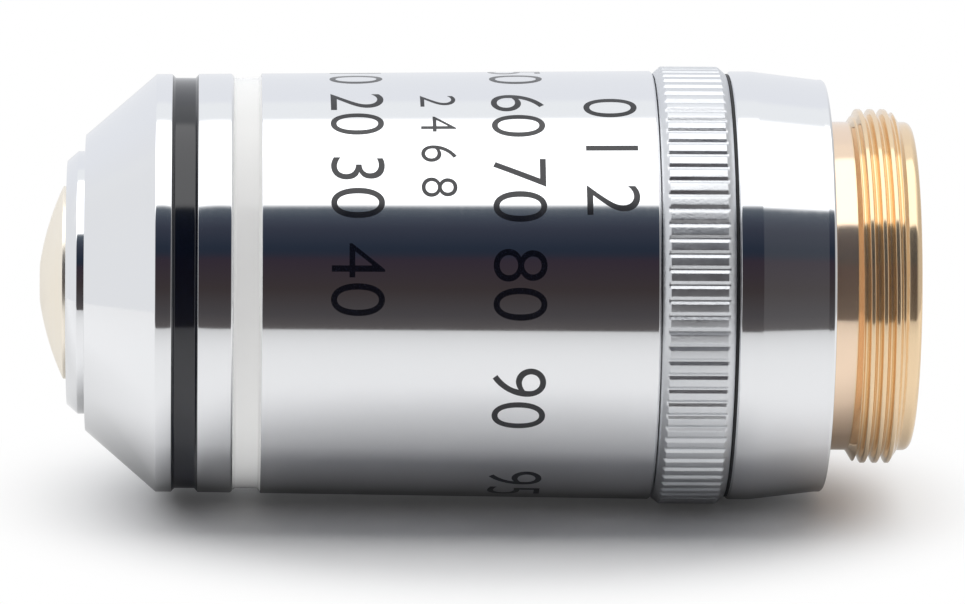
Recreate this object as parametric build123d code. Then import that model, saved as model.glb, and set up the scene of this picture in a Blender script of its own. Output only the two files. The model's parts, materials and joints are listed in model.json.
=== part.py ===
from build123d import *
import os
from math import asin, atan2, copysign, cos, degrees, hypot, radians, sin, sqrt

# Oil-immersion microscope objective with an iris collar and a sprung nose.
# Millimetres. The optical axis is Z, the thread end stands on Z = 0 and the nose points up.

# Fits
FIT = 0.02
RUNNING_CLEARANCE = 0.05
PIN_CLEARANCE = 0.05
STOP_GAP = 0.02
CEMENT = 0.02
EDGE_BREAK = 0.12

# Iris diaphragm
PUPIL_RADIUS = 2.5
STOPPED_RADIUS = 0.72
LEAF_COUNT = 6
LEAF_MARGIN = 0.1
LEAF_WIDTH = 1.45
LEAF_THICKNESS = 0.06
LEAF_PITCH = 0.12
LEAF_SWEEP = 118.0
LEAF_PIN_RADIUS = 0.18
LEAF_PIN_CLEARANCE = 0.04
PIVOT_OFFSET = 0.95
EAR_RADIUS = 0.42
DRIVE_ANGLE = 17.0
COLLAR_SWING = 50.0
CHAMBER_MARGIN = 1.18
IRIS_BASE_THICKNESS = 0.7
CAM_PLATE_THICKNESS = 0.55
CAM_HOLE_MARGIN = 0.25
CAM_WALL = 0.8
CAM_SKIRT_BELOW = 2.7
CAM_SKIRT_ABOVE = 1.78
CAM_GROOVE_DEPTH = 0.6
KEEPER_THICKNESS = 0.75
KEEPER_RECESS = 0.2
KEEPER_WIDTH = 2.0
KEEPER_NOTCH = 0.9
IRIS_END_GAP = 0.06

# Lens tube and its spring
LENS_TUBE_WALL = 0.8
WEB_THICKNESS = 0.8
WEB_APERTURE_RADIUS = 4.0
NOSE_TRAVEL = 2.0
SPRING_WIRE = 0.9
SPRING_TURNS = 5.0
SPRING_ROOM_INSIDE = 0.55
SPRING_ROOM_OUTSIDE = 0.45
FLANGE_THICKNESS = 3.0
STOP_RING_THICKNESS = 2.0
STOP_RING_CLEARANCE = 0.1
LEDGE_RISE = 6.3
LEDGE_THICKNESS = 1.5
GUIDE_PIN_RADIUS = 0.4
GUIDE_PIN_REACH = 0.4
GUIDE_AZIMUTH = 270.0

# Mount end: standard 0.8 inch objective thread at its major diameter
THREAD_RADIUS = 10.135
PILOT_LENGTH = 0.75
THREAD_LENGTH = 2.85
NECK_LENGTH = 1.4
THREAD_RELIEF = 0.735
NECK_WALL = 1.2
SPIGOT_STEP = 0.2
SPIGOT_GAP = 0.2
MOUNT_FLANGE_STEP = 0.115
MOUNT_FLANGE_THICKNESS = 0.4
MOUNT_FLANGE_SINK = 0.05
MOUNT_END_CHAMFER = 0.5

# Rear body
BODY_TUBE_WALL = 1.5
SHOULDER_LAND = 0.43
TAPER_LENGTH = 3.74
TAPER_DROP = 0.45
REAR_LAND = 1.32
REAR_BORE_CLEARANCE = 1.2

# Collar and washer
WASHER_THICKNESS = 0.15
WASHER_RECESS = 0.15
COLLAR_WIDTH = 4.12
COLLAR_PROUD = 0.26
COLLAR_CHAMFER_WIDTH = 0.45
COLLAR_CHAMFER_DEPTH = 0.4
KNURL_COUNT = 90
KNURL_DEPTH = 0.11
KNURL_WIDTH = 0.44
KNURL_FLOOR_WIDTH = 0.09
DRIVE_PIN_RADIUS = 0.6
DRIVE_PIN_SEAT = 1.2
DRIVE_AZIMUTH = 90.0

# Barrel, slightly narrower at the nose, with two enamel bands
BARREL_WALL = 1.42
BARREL_DRAFT = 0.32
BARREL_GAP = 0.06
BARREL_PLAIN_LENGTH = 22.28
WHITE_BAND_WIDTH = 1.58
BAND_LAND = 2.0
BLACK_BAND_WIDTH = 1.46
BAND_GROOVE_DEPTH = 0.65
ENAMEL_THICKNESS = 0.12
ENAMEL_BEVEL = 0.12

# Nose
NOSE_LAND = 0.91
CONE_LENGTH = 4.03
NOSE_CLEARANCE = 0.1
NOSE_LIP_WIDTH = 0.83
NOSE_LIP_THICKNESS = 0.8
NOSE_SPIGOT_LENGTH = 1.96
NOSE_SPIGOT_GAP = 0.2
CAP_OVERHANG = 0.1
CAP_REACH = 1.05
CAP_SEAT_DEPTH = 0.6
CAP_CHAMFER_LENGTH = 0.63
CAP_CHAMFER_DEPTH = 0.55
CAP_SPIGOT_LENGTH = 1.5
CELL_RIM_RADIUS = 5.5
CELL_RIM_HEIGHT = 0.22
CELL_DOME_HEIGHT = 1.33
CELL_DOME_BULGE = 0.17
CELL_TIP_RADIUS = 1.1
CAP_SPIGOT_WALL = 1.66
STEM_LENGTH = 3.0
BALL_RADIUS = 1.45
BALL_FLAT_RADIUS = 1.0
LIGHT_CONE_RADIUS = 3.6

# Lens stack
RETAINER_THICKNESS = 0.6
RETAINER_WIDTH = 1.3
RETAINER_GAP = 0.05
SPACER_WALL = 0.8
REAR_CELL_LENGTH = 6.1
TRIPLET_CELL_LENGTH = 6.0
DOUBLET_CELL_LENGTH = 4.5
MENISCUS_CELL_LENGTH = 3.3
SEAT_THICKNESS = 0.7
MENISCUS_SEAT_THICKNESS = 1.2
SEAT_WIDTH = 0.5
REAR_LENS_RADIUS = 4.6
TRIPLET_LENS_RADIUS = 4.4
DOUBLET_LENS_RADIUS = 3.9
MENISCUS_LENS_RADIUS = 3.1
REAR_HOLLOW_CURVE = 9.0
REAR_CEMENT_CURVE = 12.0
REAR_FRONT_CURVE = 10.0
REAR_FLINT_THICKNESS = 1.2
REAR_CROWN_THICKNESS = 2.7
TRIPLET_OUTER_CURVE = 16.0
TRIPLET_CEMENT_CURVE = 10.0
TRIPLET_CROWN_THICKNESS = 2.1
TRIPLET_FLINT_THICKNESS = 0.7
DOUBLET_REAR_CURVE = 20.0
DOUBLET_CEMENT_CURVE = 8.0
DOUBLET_FRONT_CURVE = 12.0
DOUBLET_FLINT_THICKNESS = 0.8
DOUBLET_CROWN_THICKNESS = 2.3
MENISCUS_REAR_CURVE = 5.2
MENISCUS_FRONT_CURVE = 9.0
MENISCUS_THICKNESS = 1.7

# Radii, worked out from the pupil outwards
LEAF_INNER = PUPIL_RADIUS + LEAF_MARGIN
LEAF_OUTER = LEAF_INNER + LEAF_WIDTH
PIVOT_CIRCLE = LEAF_OUTER + PIVOT_OFFSET
LEAF_SWING = 2 * degrees(asin((LEAF_INNER - STOPPED_RADIUS) / (2 * PIVOT_CIRCLE)))
CHAMBER_RADIUS = PIVOT_CIRCLE + EAR_RADIUS + CHAMBER_MARGIN
CELL_RADIUS = CHAMBER_RADIUS - FIT
CAM_RADIUS = CHAMBER_RADIUS - RUNNING_CLEARANCE
CAM_GROOVE_FLOOR = CAM_RADIUS - CAM_GROOVE_DEPTH
LENS_TUBE_RADIUS = CHAMBER_RADIUS + LENS_TUBE_WALL
LEDGE_HOLE = LENS_TUBE_RADIUS + RUNNING_CLEARANCE
SPRING_INNER = LENS_TUBE_RADIUS + SPRING_ROOM_INSIDE
FRONT_BORE = SPRING_INNER + SPRING_WIRE + SPRING_ROOM_OUTSIDE
FLANGE_RADIUS = FRONT_BORE - RUNNING_CLEARANCE
BODY_TUBE_RADIUS = FRONT_BORE + BODY_TUBE_WALL
BARREL_BORE = BODY_TUBE_RADIUS + FIT
BODY_RADIUS = BARREL_BORE + BARREL_WALL
NOSE_RADIUS = BODY_RADIUS - BARREL_DRAFT
SHOULDER_RADIUS = BODY_RADIUS - TAPER_DROP
COLLAR_BORE = BODY_TUBE_RADIUS + RUNNING_CLEARANCE
COLLAR_RADIUS = BODY_RADIUS + COLLAR_PROUD
BAND_FLOOR = BODY_RADIUS - BAND_GROOVE_DEPTH
NOSE_CAP_RADIUS = LENS_TUBE_RADIUS + CAP_OVERHANG
NOSE_HOLE = NOSE_CAP_RADIUS + NOSE_CLEARANCE
CONE_FRONT_RADIUS = NOSE_HOLE + NOSE_LIP_WIDTH
STEM_HOLE = CELL_RADIUS - CAP_SPIGOT_WALL
STEM_RADIUS = STEM_HOLE - FIT
REAR_BORE = LENS_TUBE_RADIUS + REAR_BORE_CLEARANCE
NECK_RADIUS = THREAD_RADIUS - THREAD_RELIEF
MOUNT_BORE = NECK_RADIUS - NECK_WALL
SPIGOT_RADIUS = NECK_RADIUS + SPIGOT_STEP
MOUNT_FLANGE_RADIUS = THREAD_RADIUS + MOUNT_FLANGE_STEP
DRIVE_PIN_TIP = CAM_GROOVE_FLOOR + PIN_CLEARANCE * 2
DRIVE_PIN_END = COLLAR_BORE + DRIVE_PIN_SEAT
GUIDE_PIN_TIP = LENS_TUBE_RADIUS - GUIDE_PIN_REACH
GUIDE_GROOVE_FLOOR = GUIDE_PIN_TIP - PIN_CLEARANCE * 2
DRIVE_HALF_SLOT = DRIVE_PIN_RADIUS + PIN_CLEARANCE
GUIDE_HALF_SLOT = GUIDE_PIN_RADIUS + PIN_CLEARANCE

# Heights of the outer pieces, from the thread end up
THREAD_Z = PILOT_LENGTH
NECK_Z = THREAD_Z + THREAD_LENGTH
SHOULDER_Z = NECK_Z + NECK_LENGTH
MOUNT_SEAT_Z = SHOULDER_Z + MOUNT_FLANGE_SINK + MOUNT_FLANGE_THICKNESS
TAPER_Z = SHOULDER_Z + SHOULDER_LAND
TAPER_TOP = TAPER_Z + TAPER_LENGTH
WASHER_Z = TAPER_TOP + REAR_LAND
COLLAR_Z = WASHER_Z + WASHER_THICKNESS + STOP_GAP
COLLAR_TOP = COLLAR_Z + COLLAR_WIDTH
BARREL_Z = COLLAR_TOP + BARREL_GAP
WHITE_BAND_Z = BARREL_Z + BARREL_PLAIN_LENGTH
BAND_LAND_Z = WHITE_BAND_Z + WHITE_BAND_WIDTH
BLACK_BAND_Z = BAND_LAND_Z + BAND_LAND
BARREL_TOP = BLACK_BAND_Z + BLACK_BAND_WIDTH
CONE_Z = BARREL_TOP + NOSE_LAND
CONE_TOP = CONE_Z + CONE_LENGTH
CAP_TOP = CONE_TOP + CAP_REACH
CELL_RIM_TOP = CAP_TOP + CELL_RIM_HEIGHT
TIP_Z = CELL_RIM_TOP + CELL_DOME_HEIGHT

# Heights of the iris, set by the drive pin at the middle of the collar
DRIVE_Z = COLLAR_Z + COLLAR_WIDTH / 2
CAM_Z = DRIVE_Z - CAM_SKIRT_BELOW
CAM_PLATE_Z = DRIVE_Z + CAM_SKIRT_ABOVE
CAM_TOP = CAM_PLATE_Z + CAM_PLATE_THICKNESS
LEAF_Z = CAM_TOP + IRIS_END_GAP
IRIS_BASE_Z = LEAF_Z + LEAF_COUNT * LEAF_PITCH
WEB_Z = IRIS_BASE_Z + IRIS_BASE_THICKNESS
STACK_Z = WEB_Z + WEB_THICKNESS
KEEPER_TOP = CAM_Z - IRIS_END_GAP
KEEPER_Z = KEEPER_TOP - KEEPER_THICKNESS
LENS_TUBE_Z = KEEPER_Z - KEEPER_RECESS
SPIGOT_TOP = LENS_TUBE_Z - NOSE_TRAVEL - SPIGOT_GAP

# Heights of the carriage and its guides
LEDGE_Z = DRIVE_Z + LEDGE_RISE
LEDGE_TOP = LEDGE_Z + LEDGE_THICKNESS
GUIDE_Z = LEDGE_Z + LEDGE_THICKNESS / 2
BODY_TUBE_TOP = BARREL_TOP - NOSE_SPIGOT_LENGTH - NOSE_SPIGOT_GAP
STOP_RING_Z = BODY_TUBE_TOP - STOP_RING_THICKNESS
FLANGE_TOP = STOP_RING_Z - STOP_GAP
FLANGE_Z = FLANGE_TOP - FLANGE_THICKNESS
CAP_SEAT_Z = CONE_TOP - CAP_SEAT_DEPTH

# Heights of the lens stack, filled from the nose down to the spacer
RETAINER_TOP = CAP_SEAT_Z - CAP_SPIGOT_LENGTH - RETAINER_GAP
RETAINER_Z = RETAINER_TOP - RETAINER_THICKNESS
MENISCUS_CELL_Z = RETAINER_Z - MENISCUS_CELL_LENGTH
DOUBLET_CELL_Z = MENISCUS_CELL_Z - DOUBLET_CELL_LENGTH
TRIPLET_CELL_Z = DOUBLET_CELL_Z - TRIPLET_CELL_LENGTH
SPACER_Z = STACK_Z + REAR_CELL_LENGTH


def turned(*corners):
    """Solid of revolution from (radius, height) corners."""
    return revolve(Plane.XZ * make_face(Polyline(*corners, close=True)), Axis.Z)


def ring(inner, outer, bottom, top):
    """Plain turned ring."""
    return turned((inner, bottom), (outer, bottom), (outer, top), (inner, top))


def radial_pin(radius, inner, outer, azimuth, height):
    """Round pin that points at the axis."""
    pin = Rot(0, 90, 0) * Cylinder(radius, outer - inner)
    return Rot(0, 0, azimuth) * Pos((inner + outer) / 2, 0, height) * pin


def swept_slot(inner, outer, bottom, top, half_width, azimuth, swing):
    """Cutter for a slot round the axis that lets a radial pin swing."""
    spare = degrees(asin(half_width / inner))
    section = Plane.XZ * make_face(
        Polyline((inner, bottom), (outer, bottom), (outer, top), (inner, top), close=True)
    )
    sector = revolve(section, Axis.Z, revolution_arc=swing + 2 * spare)
    return Rot(0, 0, azimuth - spare) * sector


def polar(radius, angle):
    """Point in the plan at an angle in degrees."""
    return (radius * cos(radians(angle)), radius * sin(radians(angle)))


def thread_mount():
    """Brass mount: pilot, thread at its major diameter, relief neck, seat flange and spigot."""
    return turned(
        (MOUNT_BORE, 0),
        (NECK_RADIUS - MOUNT_END_CHAMFER, 0),
        (NECK_RADIUS, MOUNT_END_CHAMFER),
        (NECK_RADIUS, THREAD_Z),
        (THREAD_RADIUS, THREAD_Z),
        (THREAD_RADIUS, NECK_Z),
        (NECK_RADIUS, NECK_Z),
        (NECK_RADIUS, SHOULDER_Z + MOUNT_FLANGE_SINK),
        (MOUNT_FLANGE_RADIUS, SHOULDER_Z + MOUNT_FLANGE_SINK),
        (MOUNT_FLANGE_RADIUS, MOUNT_SEAT_Z),
        (SPIGOT_RADIUS, MOUNT_SEAT_Z),
        (SPIGOT_RADIUS, SPIGOT_TOP),
        (MOUNT_BORE, SPIGOT_TOP),
    )


def rear_body():
    """Chromed body: shoulder, taper and land outside, body tube with the spring ledge inside."""
    recess = MOUNT_FLANGE_RADIUS + RUNNING_CLEARANCE
    socket = SPIGOT_RADIUS + FIT
    body = turned(
        (recess, SHOULDER_Z),
        (SHOULDER_RADIUS - EDGE_BREAK, SHOULDER_Z),
        (SHOULDER_RADIUS, SHOULDER_Z + EDGE_BREAK),
        (SHOULDER_RADIUS, TAPER_Z),
        (BODY_RADIUS, TAPER_TOP),
        (BODY_RADIUS, WASHER_Z - EDGE_BREAK),
        (BODY_RADIUS - EDGE_BREAK, WASHER_Z),
        (BODY_TUBE_RADIUS, WASHER_Z),
        (BODY_TUBE_RADIUS, BODY_TUBE_TOP),
        (FRONT_BORE, BODY_TUBE_TOP),
        (FRONT_BORE, LEDGE_TOP),
        (LEDGE_HOLE, LEDGE_TOP),
        (LEDGE_HOLE, LEDGE_Z),
        (REAR_BORE, LEDGE_Z),
        (REAR_BORE, SPIGOT_TOP),
        (socket, SPIGOT_TOP),
        (socket, MOUNT_SEAT_Z),
        (recess, MOUNT_SEAT_Z),
    )
    drive_slot = swept_slot(
        REAR_BORE - EDGE_BREAK,
        BODY_TUBE_RADIUS + EDGE_BREAK,
        DRIVE_Z - DRIVE_HALF_SLOT,
        DRIVE_Z + DRIVE_HALF_SLOT,
        DRIVE_HALF_SLOT,
        DRIVE_AZIMUTH,
        COLLAR_SWING,
    )
    guide_hole = radial_pin(
        GUIDE_PIN_RADIUS + FIT, LEDGE_HOLE - FIT, BODY_TUBE_RADIUS + FIT, GUIDE_AZIMUTH, GUIDE_Z
    )
    return body - drive_slot - guide_hole


def collar_washer():
    """Dark friction washer between the rear body and the collar."""
    return ring(
        BODY_TUBE_RADIUS + FIT, BODY_RADIUS - WASHER_RECESS, WASHER_Z, WASHER_Z + WASHER_THICKNESS
    )


def iris_collar():
    """Collar with straight flat-bottomed knurling that runs out on its chamfers."""
    rim = COLLAR_RADIUS - COLLAR_CHAMFER_DEPTH
    blank = turned(
        (COLLAR_BORE, COLLAR_Z),
        (rim, COLLAR_Z),
        (COLLAR_RADIUS, COLLAR_Z + COLLAR_CHAMFER_WIDTH),
        (COLLAR_RADIUS, COLLAR_TOP - COLLAR_CHAMFER_WIDTH),
        (rim, COLLAR_TOP),
        (COLLAR_BORE, COLLAR_TOP),
    )
    floor = KNURL_FLOOR_WIDTH / 2
    mouth = KNURL_WIDTH - floor
    groove = make_face(
        Polyline(
            (COLLAR_RADIUS - KNURL_DEPTH, floor),
            (COLLAR_RADIUS + KNURL_DEPTH, mouth),
            (COLLAR_RADIUS + KNURL_DEPTH, -mouth),
            (COLLAR_RADIUS - KNURL_DEPTH, -floor),
            close=True,
        )
    )
    cutter = extrude(Pos(0, 0, COLLAR_Z) * groove, COLLAR_WIDTH)
    knurl = [Rot(0, 0, 360 * i / KNURL_COUNT) * cutter for i in range(KNURL_COUNT)]
    pin_seat = radial_pin(
        DRIVE_PIN_RADIUS + FIT, COLLAR_BORE - FIT, DRIVE_PIN_END + FIT, DRIVE_AZIMUTH, DRIVE_Z
    )
    return blank - knurl - pin_seat


def drive_pin():
    """Pin from the collar, through the body and the lens tube, to the cam ring."""
    return radial_pin(DRIVE_PIN_RADIUS, DRIVE_PIN_TIP, DRIVE_PIN_END, DRIVE_AZIMUTH, DRIVE_Z)


def barrel_radius(height):
    """Outer radius of the barrel at a height."""
    return BODY_RADIUS - BARREL_DRAFT * (height - BARREL_Z) / (BARREL_TOP - BARREL_Z)


def barrel():
    """Chromed sleeve with the white band's groove and the black band's open step."""
    return turned(
        (BARREL_BORE, BARREL_Z),
        (BODY_RADIUS - EDGE_BREAK, BARREL_Z),
        (BODY_RADIUS, BARREL_Z + EDGE_BREAK),
        (barrel_radius(WHITE_BAND_Z), WHITE_BAND_Z),
        (BAND_FLOOR, WHITE_BAND_Z),
        (BAND_FLOOR, BAND_LAND_Z),
        (barrel_radius(BAND_LAND_Z) - ENAMEL_BEVEL, BAND_LAND_Z),
        (barrel_radius(BAND_LAND_Z), BAND_LAND_Z + ENAMEL_BEVEL),
        (barrel_radius(BLACK_BAND_Z), BLACK_BAND_Z),
        (BAND_FLOOR, BLACK_BAND_Z),
        (BAND_FLOOR, BARREL_TOP),
        (BARREL_BORE, BARREL_TOP),
    )


def enamel_band(bottom, width):
    """Enamel ring on the floor of a groove."""
    return ring(BAND_FLOOR, BAND_FLOOR + ENAMEL_THICKNESS, bottom, bottom + width)


def nose_cone():
    """Chromed cone that closes the barrel and guides the nose cap."""
    return turned(
        (FRONT_BORE, BARREL_TOP - NOSE_SPIGOT_LENGTH),
        (BODY_TUBE_RADIUS, BARREL_TOP - NOSE_SPIGOT_LENGTH),
        (BODY_TUBE_RADIUS, BARREL_TOP),
        (NOSE_RADIUS, BARREL_TOP),
        (NOSE_RADIUS, CONE_Z),
        (CONE_FRONT_RADIUS, CONE_TOP),
        (NOSE_HOLE, CONE_TOP),
        (NOSE_HOLE, CONE_TOP - NOSE_LIP_THICKNESS),
        (FRONT_BORE, CONE_Z),
    )


def stop_ring():
    """Ring in the front of the body tube that stops the carriage."""
    return ring(
        LENS_TUBE_RADIUS + STOP_RING_CLEARANCE, FRONT_BORE - FIT, STOP_RING_Z, BODY_TUBE_TOP
    )


def guide_pin():
    """Pin in the ledge that keeps the lens tube from turning."""
    return radial_pin(GUIDE_PIN_RADIUS, GUIDE_PIN_TIP, BODY_TUBE_RADIUS, GUIDE_AZIMUTH, GUIDE_Z)


def lens_tube():
    """Carriage: iris chamber behind the web, lens stack in front of it, flange for the spring."""
    tube = turned(
        (CHAMBER_RADIUS, LENS_TUBE_Z),
        (LENS_TUBE_RADIUS, LENS_TUBE_Z),
        (LENS_TUBE_RADIUS, FLANGE_Z),
        (FLANGE_RADIUS, FLANGE_Z),
        (FLANGE_RADIUS, FLANGE_TOP),
        (LENS_TUBE_RADIUS, FLANGE_TOP),
        (LENS_TUBE_RADIUS, CAP_SEAT_Z),
        (CHAMBER_RADIUS, CAP_SEAT_Z),
        (CHAMBER_RADIUS, STACK_Z),
        (WEB_APERTURE_RADIUS, STACK_Z),
        (WEB_APERTURE_RADIUS, WEB_Z),
        (CHAMBER_RADIUS, WEB_Z),
    )
    drive_window = swept_slot(
        CHAMBER_RADIUS - LENS_TUBE_WALL / 2,
        LENS_TUBE_RADIUS + LENS_TUBE_WALL / 2,
        DRIVE_Z - DRIVE_HALF_SLOT,
        DRIVE_Z + NOSE_TRAVEL + DRIVE_HALF_SLOT,
        DRIVE_HALF_SLOT,
        DRIVE_AZIMUTH,
        COLLAR_SWING,
    )
    groove_height = NOSE_TRAVEL + 2 * GUIDE_HALF_SLOT
    groove_depth = LENS_TUBE_RADIUS + FIT - GUIDE_GROOVE_FLOOR
    guide_groove = Pos(
        (LENS_TUBE_RADIUS + FIT + GUIDE_GROOVE_FLOOR) / 2, 0, GUIDE_Z + NOSE_TRAVEL / 2
    ) * Box(groove_depth, 2 * GUIDE_HALF_SLOT, groove_height)
    return tube - drive_window - Rot(0, 0, GUIDE_AZIMUTH) * guide_groove


def nose_spring():
    """Coil spring of square wire between the ledge and the carriage flange."""
    radius = SPRING_INNER + SPRING_WIRE / 2
    bottom = LEDGE_TOP + SPRING_WIRE / 2 + STOP_GAP
    top = FLANGE_Z - SPRING_WIRE / 2 - STOP_GAP
    path = Helix((top - bottom) / SPRING_TURNS, top - bottom, radius)
    section = Plane.XZ * Pos(radius, 0) * Rectangle(SPRING_WIRE, SPRING_WIRE)
    return Pos(0, 0, bottom) * sweep(section, path, is_frenet=True)


def nose_cap():
    """Chromed front ring on the lens tube, bored for the front cell."""
    return turned(
        (STEM_HOLE, CAP_SEAT_Z - CAP_SPIGOT_LENGTH),
        (CELL_RADIUS, CAP_SEAT_Z - CAP_SPIGOT_LENGTH),
        (CELL_RADIUS, CAP_SEAT_Z),
        (NOSE_CAP_RADIUS, CAP_SEAT_Z),
        (NOSE_CAP_RADIUS, CAP_TOP - CAP_CHAMFER_LENGTH),
        (NOSE_CAP_RADIUS - CAP_CHAMFER_DEPTH, CAP_TOP),
        (STEM_HOLE, CAP_TOP),
    )


def ball_centre_z():
    """Height of the centre of the front lens's sphere."""
    return TIP_Z - sqrt(BALL_RADIUS**2 - BALL_FLAT_RADIUS**2)


def front_cell():
    """Gilt dome with a spherical pocket for the front lens and a stem in the nose cap."""
    centre = ball_centre_z()
    pocket = BALL_RADIUS + FIT
    mouth = sqrt(pocket**2 - (TIP_Z - centre) ** 2)
    slant = (mouth + pocket) / 2
    slant_z = centre + sqrt(pocket**2 - slant**2)
    exit_z = centre - pocket
    rim = (CELL_RIM_RADIUS, CELL_RIM_TOP)
    tip = (CELL_TIP_RADIUS, TIP_Z)
    dome = (
        (CELL_RIM_RADIUS + CELL_TIP_RADIUS) / 2,
        (CELL_RIM_TOP + TIP_Z) / 2 + CELL_DOME_BULGE,
    )
    outline = [
        ThreePointArc((mouth, TIP_Z), (slant, slant_z), (pocket, centre)),
        Polyline(
            (pocket, centre),
            (pocket, exit_z),
            (LIGHT_CONE_RADIUS, CAP_TOP - STEM_LENGTH),
            (STEM_RADIUS, CAP_TOP - STEM_LENGTH),
            (STEM_RADIUS, CAP_TOP),
            (CELL_RIM_RADIUS, CAP_TOP),
            rim,
        ),
        ThreePointArc(rim, dome, tip),
        Line(tip, (mouth, TIP_Z)),
    ]
    return revolve(Plane.XZ * make_face(outline), Axis.Z)


def front_lens():
    """Front lens: a sphere with a flat at the tip."""
    centre = ball_centre_z()
    outline = [
        ThreePointArc((0, centre - BALL_RADIUS), (BALL_RADIUS, centre), (BALL_FLAT_RADIUS, TIP_Z)),
        Line((BALL_FLAT_RADIUS, TIP_Z), (0, TIP_Z)),
        Line((0, TIP_Z), (0, centre - BALL_RADIUS)),
    ]
    return revolve(Plane.XZ * make_face(outline), Axis.Z)


def sag(curve, radius):
    """Height of a lens surface above its vertex."""
    return curve - copysign(sqrt(curve**2 - radius**2), curve)


def element(radius, rear_z, rear_curve, front_z, front_curve):
    """One lens element between two vertices on the axis."""

    def surface(vertex, curve):
        middle = (radius / 2, vertex + sag(curve, radius / 2))
        return ThreePointArc((0, vertex), middle, (radius, vertex + sag(curve, radius)))

    rear_edge = (radius, rear_z + sag(rear_curve, radius))
    front_edge = (radius, front_z + sag(front_curve, radius))
    outline = [
        surface(rear_z, rear_curve),
        Line(rear_edge, front_edge),
        surface(front_z, front_curve),
        Line((0, front_z), (0, rear_z)),
    ]
    return revolve(Plane.XZ * make_face(outline), Axis.Z)


def cemented(seat_z, radius, curves, thicknesses):
    """Elements of a cemented group whose rear surface lies on its seat.

    A positive curve has its centre towards the nose.
    """
    contact = radius - SEAT_WIDTH if curves[0] > 0 else radius
    vertex = seat_z + FIT - sag(curves[0], contact)
    elements = []
    for rear_curve, front_curve, thickness in zip(curves, curves[1:], thicknesses):
        elements.append(element(radius, vertex, rear_curve, vertex + thickness, front_curve))
        vertex += thickness + CEMENT
    return elements


def lens_cell(bottom, length, lens_radius, seat_thickness):
    """Cell with a seat lip at its rear end."""
    return turned(
        (lens_radius - SEAT_WIDTH, bottom),
        (CELL_RADIUS, bottom),
        (CELL_RADIUS, bottom + length),
        (lens_radius + FIT, bottom + length),
        (lens_radius + FIT, bottom + seat_thickness),
        (lens_radius - SEAT_WIDTH, bottom + seat_thickness),
    )


def iris_base():
    """Fixed plate that carries the leaf pivots."""
    plate = ring(LEAF_INNER, CELL_RADIUS, IRIS_BASE_Z, WEB_Z)
    hole = Pos(PIVOT_CIRCLE, 0, (IRIS_BASE_Z + WEB_Z) / 2) * Cylinder(
        LEAF_PIN_RADIUS + LEAF_PIN_CLEARANCE, IRIS_BASE_THICKNESS
    )
    return plate - [Rot(0, 0, 360 * i / LEAF_COUNT) * hole for i in range(LEAF_COUNT)]


def iris_keeper():
    """Notched ring that keeps the cam ring in the chamber."""
    keeper = ring(CELL_RADIUS - KEEPER_WIDTH, CELL_RADIUS, KEEPER_Z, KEEPER_TOP)
    notch = Pos(0, 0, KEEPER_Z) * Box(2 * CELL_RADIUS, KEEPER_NOTCH, KEEPER_THICKNESS)
    return keeper - notch


def drive_point(turn):
    """Place of the first leaf's drive pin, in the cam ring's own frame, at a turn of the collar."""
    swing = LEAF_SWING * turn / COLLAR_SWING
    start = polar(PIVOT_CIRCLE, DRIVE_ANGLE)
    arm = (start[0] - PIVOT_CIRCLE, start[1])
    reach = hypot(*arm)
    bearing = degrees(atan2(arm[1], arm[0])) + swing
    offset = polar(reach, bearing)
    place = (PIVOT_CIRCLE + offset[0], offset[1])
    return polar(hypot(*place), degrees(atan2(place[1], place[0])) - turn)


def iris_cam_ring():
    """Ring turned by the drive pin: a skirt with one axial groove and a plate with six cam slots."""
    cam = turned(
        (CAM_RADIUS - CAM_WALL, CAM_Z),
        (CAM_RADIUS, CAM_Z),
        (CAM_RADIUS, CAM_TOP),
        (LEAF_INNER + CAM_HOLE_MARGIN, CAM_TOP),
        (LEAF_INNER + CAM_HOLE_MARGIN, CAM_PLATE_Z),
        (CAM_RADIUS - CAM_WALL, CAM_PLATE_Z),
    )
    track = ThreePointArc(drive_point(0), drive_point(COLLAR_SWING / 2), drive_point(COLLAR_SWING))
    slot = SlotArc(track, 2 * (LEAF_PIN_RADIUS + 2 * LEAF_PIN_CLEARANCE))
    cutter = extrude(Pos(0, 0, CAM_PLATE_Z) * slot, CAM_PLATE_THICKNESS)
    slots = [Rot(0, 0, 360 * i / LEAF_COUNT) * cutter for i in range(LEAF_COUNT)]
    groove_bottom = DRIVE_Z - DRIVE_HALF_SLOT
    groove_top = max(CAM_TOP, DRIVE_Z + NOSE_TRAVEL + DRIVE_HALF_SLOT)
    groove = Pos(
        CAM_GROOVE_FLOOR + CAM_GROOVE_DEPTH, 0, (groove_bottom + groove_top) / 2
    ) * Box(2 * CAM_GROOVE_DEPTH, 2 * DRIVE_HALF_SLOT, groove_top - groove_bottom)
    return cam - slots - Rot(0, 0, DRIVE_AZIMUTH) * groove


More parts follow.
